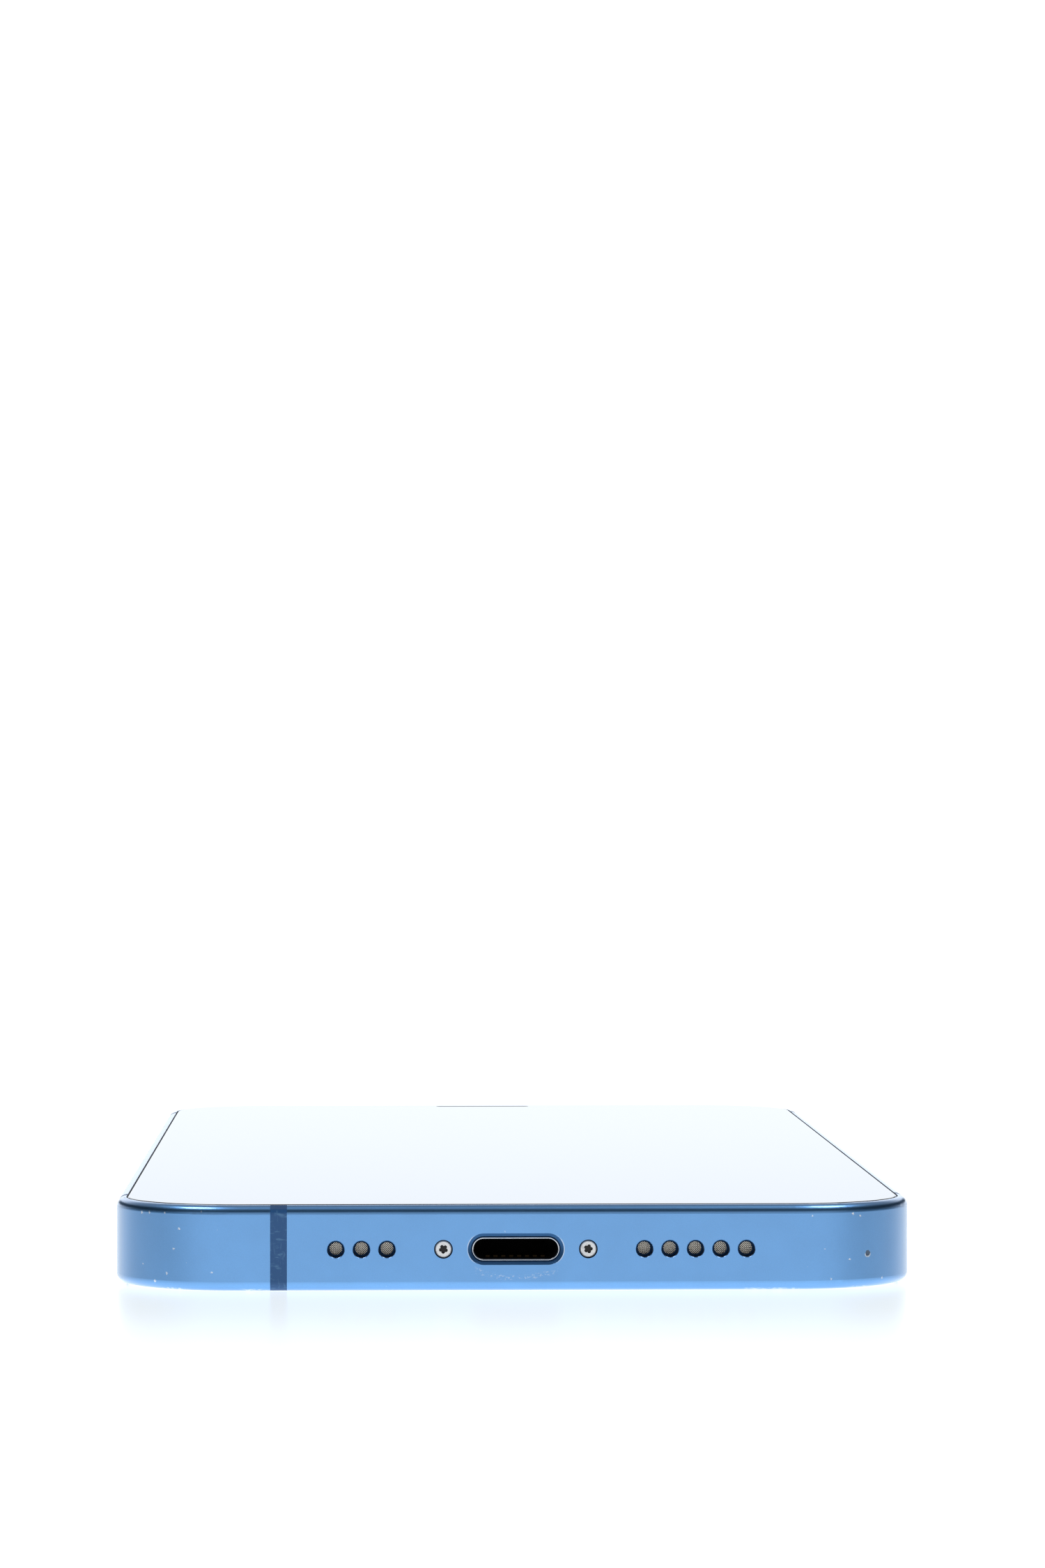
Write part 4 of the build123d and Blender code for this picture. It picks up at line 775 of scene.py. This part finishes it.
# Painted shade: the recess is painted nearly black by how deep it lies.
deep = screw.y.rise(screw_low.y * MM + 0.04, screw_low.y * MM + 0.12)
grime = screw.noise(3.0, 3.0).rise(0.5, 0.8)
# Painted highlight: the rounded rim is made paler and less of a mirror.
edge = out.rise(SCREW_R_MM - 0.14, SCREW_R_MM - 0.09) * (1 - deep)
bright = screw.mix((0.72, 0.71, 0.72), (0.52, 0.51, 0.52), grime)
screw.set(base_color=screw.mix(bright, (0.035, 0.033, 0.033), deep))
screw.set(metallic=1 - edge * 0.9, roughness=0.3 + turned * 0.03 + grime * 0.08)
screw.bump(turned, 0.004, 0.3)
wear(screw, "bottom_screws", "board_screws")

# %% [markdown]
# ## The port's cup
#
# The cup is drawn from thin steel, its lip is rolled over and polished, and its inside is painted
# near black, as painted shade.
# The lip is only 0.15 mm wide, so modelling the roll would cost many faces for one bright line. A
# bump that is highest along the middle of the lip bends the reflection the same way.

# %% Port
LIP_WIDE_MM = 0.15
LIP_INNER_MM = (port_high.z - port_low.z) / 2 * MM - LIP_WIDE_MM
cup = Finish("port_cup_steel")
# Painted shade: the inside of the cup is painted near black.
inner = cup.y.rise(port_low.y * MM + 0.08, port_low.y * MM + 0.3)
brushed = cup.noise(6.0, 3.0, cup.stretch(0.3, 1, 1))
lip = cup.mix((0.55, 0.55, 0.57), (0.85, 0.85, 0.87), brushed)
cup.set(base_color=cup.mix(lip, (0.004, 0.004, 0.004), inner))
cup.set(metallic=1 - inner, roughness=0.22 + inner * 0.35 + brushed * 0.05)
across_lip = (port_distance(cup) - LIP_INNER_MM) / LIP_WIDE_MM
rolled = across_lip * (1 - across_lip) * 4.0
cup.bump(rolled * 0.9 + brushed * 0.1, 0.075, 1.0)
wear(cup, "port_shell")
# Painted shade: the contacts deep in the port are painted very dark.
wear(steel("gold_contacts_painted_shade", (0.05, 0.032, 0.016), 0.45), "port_contacts")

# %% [markdown]
# ## What is inside
#
# These pieces only show when the phone is taken apart, but each is finished as what it is: copper
# windings, a circuit board with its traces, a pouch battery, black ferrite, and a plastic card
# with gold pads. Windings and traces could be modelled wire by wire, but they lie under the glass,
# so rings and cells in the shader, with a little relief, are enough to tell one from the other.

# %% Coil, ferrite and board
coil = Finish("enamelled_copper", metallic=1.0)
windings = (off_axis((coil.x, coil.y), (0.0, 0.0)) * 19.0).maths("SINE")
coil.set(base_color=coil.mix((0.42, 0.16, 0.07), (0.80, 0.40, 0.22), windings * 0.5 + 0.5))
coil.set(roughness=0.25 + coil.noise(2.0) * 0.1)
coil.bump(windings, 0.05, 0.7)
wear(coil, "charging_coil")
wear(moulded("ferrite_film", (0.02, 0.02, 0.022), 0.6, 4.0), "ferrite_sheet")

board = Finish("circuit_board", ior=1.5, coat_weight=0.4)
tracks = board.cells(0.9, board.stretch(1, 2.2, 1), "DISTANCE_TO_EDGE").rise(0.05, 0.08)
pads = board.cells(1.3).rise(0.16, 0.12)
masked = board.mix((0.010, 0.045, 0.030), (0.006, 0.028, 0.020), tracks)
board.set(base_color=board.mix(masked, (0.62, 0.42, 0.16), pads * 0.8))
board.set(metallic=pads * 0.9, roughness=0.35 - pads * 0.1)
board.bump(tracks + pads, 0.02, 0.5)
wear(board, "logic_board")

flex = Finish("polyimide_flex", ior=1.5)
leads = flex.noise(1.2, 0.0, flex.stretch(3.0, 0.05, 1)).rise(0.48, 0.52)
flex.set(base_color=flex.mix((0.16, 0.065, 0.012), (0.32, 0.14, 0.03), leads))
flex.set(roughness=0.35 + leads * 0.08)
flex.bump(leads, 0.01, 0.5)
wear(flex, "charge_flex")

# %% Chips, battery, panel, card and flash
chip = moulded("chip_epoxy", (0.010, 0.010, 0.011), 0.32, 14.0, 0.004)
wear(chip, "board_chips")

pouch = Finish("battery_pouch", ior=1.45, coat_weight=0.3)
wrinkles = pouch.noise(0.18, 4.0, pouch.stretch(1, 0.4, 1))
scuff = pouch.noise(1.5, 3.0).rise(0.58, 0.7)
pouch.set(base_color=pouch.mix((0.010, 0.010, 0.011), (0.030, 0.030, 0.032), wrinkles))
pouch.set(roughness=0.3 + scuff * 0.2)
pouch.bump(wrinkles, 0.25, 0.5)
wear(pouch, "battery")

panel = Finish("display_panel_film", ior=1.5, coat_weight=1.0, coat_roughness=0.05)
rows = panel.cells(5.0)
panel.set(base_color=panel.mix((0.004, 0.004, 0.006), (0.010, 0.010, 0.014), rows))
panel.set(roughness=0.12 + rows * 0.05)
wear(panel, "display_panel")

card = Finish("white_card_plastic", ior=1.48)
card_low, card_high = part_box("sim_card")
CARD_X_MM, CARD_Y_MM, _ = (card_low + card_high) / 2 * MM
PAD_HALF_MM = (3.6, 3.0)
off_pad = (abs(card.x - CARD_X_MM) - PAD_HALF_MM[0]).most(abs(card.y - CARD_Y_MM) - PAD_HALF_MM[1])
on_pad = off_pad.rise(0.05, -0.05) * card.z.rise(card_low.z * MM + 0.1, card_low.z * MM + 0.05)
card.set(base_color=card.mix((0.82, 0.82, 0.80), (0.72, 0.50, 0.18), on_pad))
card.set(metallic=on_pad, roughness=0.38 + card.noise(7.0) * 0.08)
card.bump(card.noise(7.0), 0.005, 0.3)
wear(card, "sim_card")

lamp = Finish("flash_lamp_phosphor", ior=1.5)
spotted = lamp.noise(7.0, 2.0)
LAMP_FACE_MM = 1.0
on_face = lamp.z.rise(LAMP_FACE_MM + 0.02, LAMP_FACE_MM - 0.02)
yellow = on_face * (0.8 + spotted * 0.2)
lamp.set(base_color=lamp.mix((0.75, 0.74, 0.70), (0.80, 0.62, 0.10), yellow))
lamp.set(roughness=0.5 + spotted * 0.1)
wear(lamp, "flash_module")

# %% [markdown]
# ## Wire cloth behind the sound holes
#
# A grille that keeps dust out of a microphone is woven wire, and a pattern on a flat sheet doesn't
# catch light like round wires that pass over and under each other. So each wire is a real tube,
# rolled flat as such cloth is, so that its face shines back out of the hole. It follows a sine
# wave, up where it goes over the wires that cross it and down where it goes under them, and the
# two sets of wires are half a wave apart.

# %% One wire
WIRE_PITCH = 0.00013
WIRE_R = 0.000031
FLATTENED = 0.3
WIRE_SIDES = 6
STEPS_PER_CROSSING = 2
SLANT = radians(42)


def wire(mesh, line):
    """Adds a flattened wire along a list of points to a bmesh."""
    rings = []
    for i, point in enumerate(line):
        ahead = (line[min(i + 1, len(line) - 1)] - line[max(i - 1, 0)]).normalized()
        across = ahead.cross(Vector((0, 0, 1))).normalized()
        over = across.cross(ahead)
        ring = []
        for k in range(WIRE_SIDES):
            turn = 2 * pi * k / WIRE_SIDES
            round_point = cos(turn) * across + FLATTENED * sin(turn) * over
            ring.append(mesh.verts.new(point + WIRE_R * round_point))
        rings.append(ring)
    for one, two in zip(rings, rings[1:]):
        for k in range(WIRE_SIDES):
            after = (k + 1) % WIRE_SIDES
            mesh.faces.new((one[k], one[after], two[after], two[k]))
    mesh.faces.new(rings[0][::-1])
    mesh.faces.new(rings[-1])


print("wires are", round(2 * WIRE_R * MM, 3), "mm wide")


# %% Weaving
def wires_one_way(mesh, half_x, half_y, slant, phase):
    """Parallel wires at a slant that fill a rectangle around the origin."""
    ahead = Vector((cos(slant), sin(slant), 0))
    across = Vector((-sin(slant), cos(slant), 0))
    reach = sqrt(half_x**2 + half_y**2)
    count = int(reach / WIRE_PITCH)
    step = WIRE_PITCH / STEPS_PER_CROSSING
    for n in range(-count, count + 1):
        line = []
        for k in range(int(-reach / step), int(reach / step) + 1):
            point = across * n * WIRE_PITCH + ahead * k * step
            if abs(point.x) <= half_x and abs(point.y) <= half_y:
                wave = cos(pi * (k * step / WIRE_PITCH + n + phase))
                line.append(point + Vector((0, 0, WIRE_R * FLATTENED * wave)))
        if len(line) > 2:
            wire(mesh, line)


def wire_cloth(name, middle, half_x, half_y, face):
    """A woven rectangle. face turns its own Z to the way that it looks."""
    mesh = bmesh.new()
    wires_one_way(mesh, half_x, half_y, SLANT, 0)
    wires_one_way(mesh, half_x, half_y, SLANT - radians(90), 1)
    mesh.transform(Matrix.Translation(middle) @ face)
    data = bpy.data.meshes.new(name)
    mesh.to_mesh(data)
    mesh.free()
    for polygon in data.polygons:
        polygon.use_smooth = True
    piece = bpy.data.objects.new(name, data)
    bpy.context.scene.collection.objects.link(piece)
    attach(piece, "phone")
    print(name, "with", len(data.polygons), "faces")
    return piece


# %% [markdown]
# ## The four cloths
#
# Real phones have one strip of cloth behind each row of sound holes, not a disc for each hole. The
# CAD model has its plain sheets there, so these stand in for them: one behind the three holes of
# the microphone, one behind the five of the loudspeaker, one in the earpiece slot and a small one
# behind the rear microphone. The wire is steel that has yellowed a little.

# %% Cloths
CLOTH_DEEP = 0.00135  # how far the cloth lies behind the outer face
MESH_Y = end_low.y + CLOTH_DEEP + 2 * WIRE_R
MESH_HALF_HIGH = 0.00115
STRIP_MARGIN = 0.0011
hole_row = HOLE_PITCH_MM / MM
first_hole = FIRST_HOLE_MM / MM
mid_z = AXIS_Z_MM / MM
forwards = Matrix.Rotation(radians(90), 4, "X")

cloth = Finish("woven_steel_cloth", metallic=0.85)
tarnish = cloth.noise(3.0, 3.0)
cloth.set(base_color=cloth.mix((0.84, 0.74, 0.62), (0.98, 0.92, 0.84), tarnish))
cloth.set(roughness=0.20 + tarnish * 0.1)

weaves = []
for name, side_sign, holes in (("microphone_cloth", -1, 3), ("loudspeaker_cloth", 1, 5)):
    half_row = hole_row * (holes - 1) / 2
    middle = Vector((side_sign * (first_hole + half_row), MESH_Y, mid_z))
    weaves.append(wire_cloth(name, middle, half_row + STRIP_MARGIN, MESH_HALF_HIGH, forwards))

EARPIECE_HALF = (0.0055, 0.00044)
EARPIECE_INSET = 0.0004
earpiece_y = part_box("earpiece_speaker")[1].y - EARPIECE_INSET
earpiece_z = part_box("front_glass")[0].z - 2 * WIRE_R
flat = Matrix.Identity(4)
middle = Vector((0, earpiece_y, earpiece_z))
weaves.append(wire_cloth("earpiece_cloth", middle, *EARPIECE_HALF, flat))

REAR_HALF = 0.0006
REAR_Z = 0.0006
between_lenses = (WIDE_Y_MM + ULTRAWIDE_Y_MM) / 2 / MM
middle = Vector((FLASH_X_MM / MM, between_lenses, REAR_Z + 2 * WIRE_R))
weaves.append(wire_cloth("rear_microphone_cloth", middle, REAR_HALF, REAR_HALF, flat))

for weave in weaves:
    weave.data.materials.append(cloth.material)
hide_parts("acoustic_meshes")

# %% [markdown]
# ## Rings inside the lenses
#
# Looking into a phone's camera shows several thin rings around a dark pupil. They are the stepped
# edges of the spacers between its lenses. A picture of rings would stay the same from every side,
# so a profile of small steps is spun about the axis, and its real edges catch light through the
# cover.

# %% Lens baffles
BAFFLE_STEPS = 5
BAFFLE_OUT = 0.00352
BAFFLE_IN = 0.00262
BAFFLE_DEEP = 0.00052
BAFFLE_FOOT = 0.00003
BAFFLE_WALL = 0.00002
BAFFLE_GAP = 0.00004  # from the barrel's front rim to the first step
SPIN_STEPS = 96
ring_black = moulded("baffle_black", (0.02, 0.02, 0.022), 0.25, 16.0, 0.003)


def funnel_profile(front_z):
    """Radius and height of each corner of the steps, from the wide end to the narrow one."""
    profile = []
    for i in range(BAFFLE_STEPS):
        share, next_share = i / BAFFLE_STEPS, (i + 1) / BAFFLE_STEPS
        radius = BAFFLE_OUT + (BAFFLE_IN - BAFFLE_OUT) * share
        profile.append((radius, front_z + BAFFLE_DEEP * share))
        profile.append((radius, front_z + BAFFLE_DEEP * next_share))
    profile.append((BAFFLE_IN, profile[-1][1]))
    profile.append((BAFFLE_IN, front_z + BAFFLE_DEEP + BAFFLE_FOOT))
    return profile


def baffles(name, middle_y_mm, front_z, body):
    """A stepped funnel around one lens, spun about the lens's axis."""
    mesh = bmesh.new()
    profile = funnel_profile(front_z)
    rings = []
    axis = Vector((LENS_X_MM / MM, middle_y_mm / MM, 0))
    for k in range(SPIN_STEPS):
        turn = 2 * pi * k / SPIN_STEPS
        way = Vector((cos(turn), sin(turn), 0))
        rings.append([mesh.verts.new(axis + way * r + Vector((0, 0, z))) for r, z in profile])
    for one, two in zip(rings, rings[1:] + rings[:1]):
        for i in range(len(profile) - 1):
            mesh.faces.new((one[i], one[i + 1], two[i + 1], two[i]))
    data = bpy.data.meshes.new(name)
    mesh.to_mesh(data)
    mesh.free()
    piece = bpy.data.objects.new(name, data)
    bpy.context.scene.collection.objects.link(piece)
    data.materials.append(ring_black.material)
    thick = piece.modifiers.new("wall", "SOLIDIFY")
    thick.thickness = BAFFLE_WALL
    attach(piece, body)
    print(name, len(data.polygons), "faces")


baffles("wide_lens_baffles", WIDE_Y_MM, wide_low.z + BAFFLE_GAP, "focus_barrel")
baffles("ultrawide_lens_baffles", ULTRAWIDE_Y_MM, ultrawide_low.z + BAFFLE_GAP, "phone")

# %% [markdown]
# ## Colour
#
# A film-like view transform would grey the white tent and dull the dye, so the standard view is
# used, which keeps both as they were mixed.

# %% Colour
view = bpy.context.scene.view_settings
view.view_transform = "Standard"
view.look = "None"
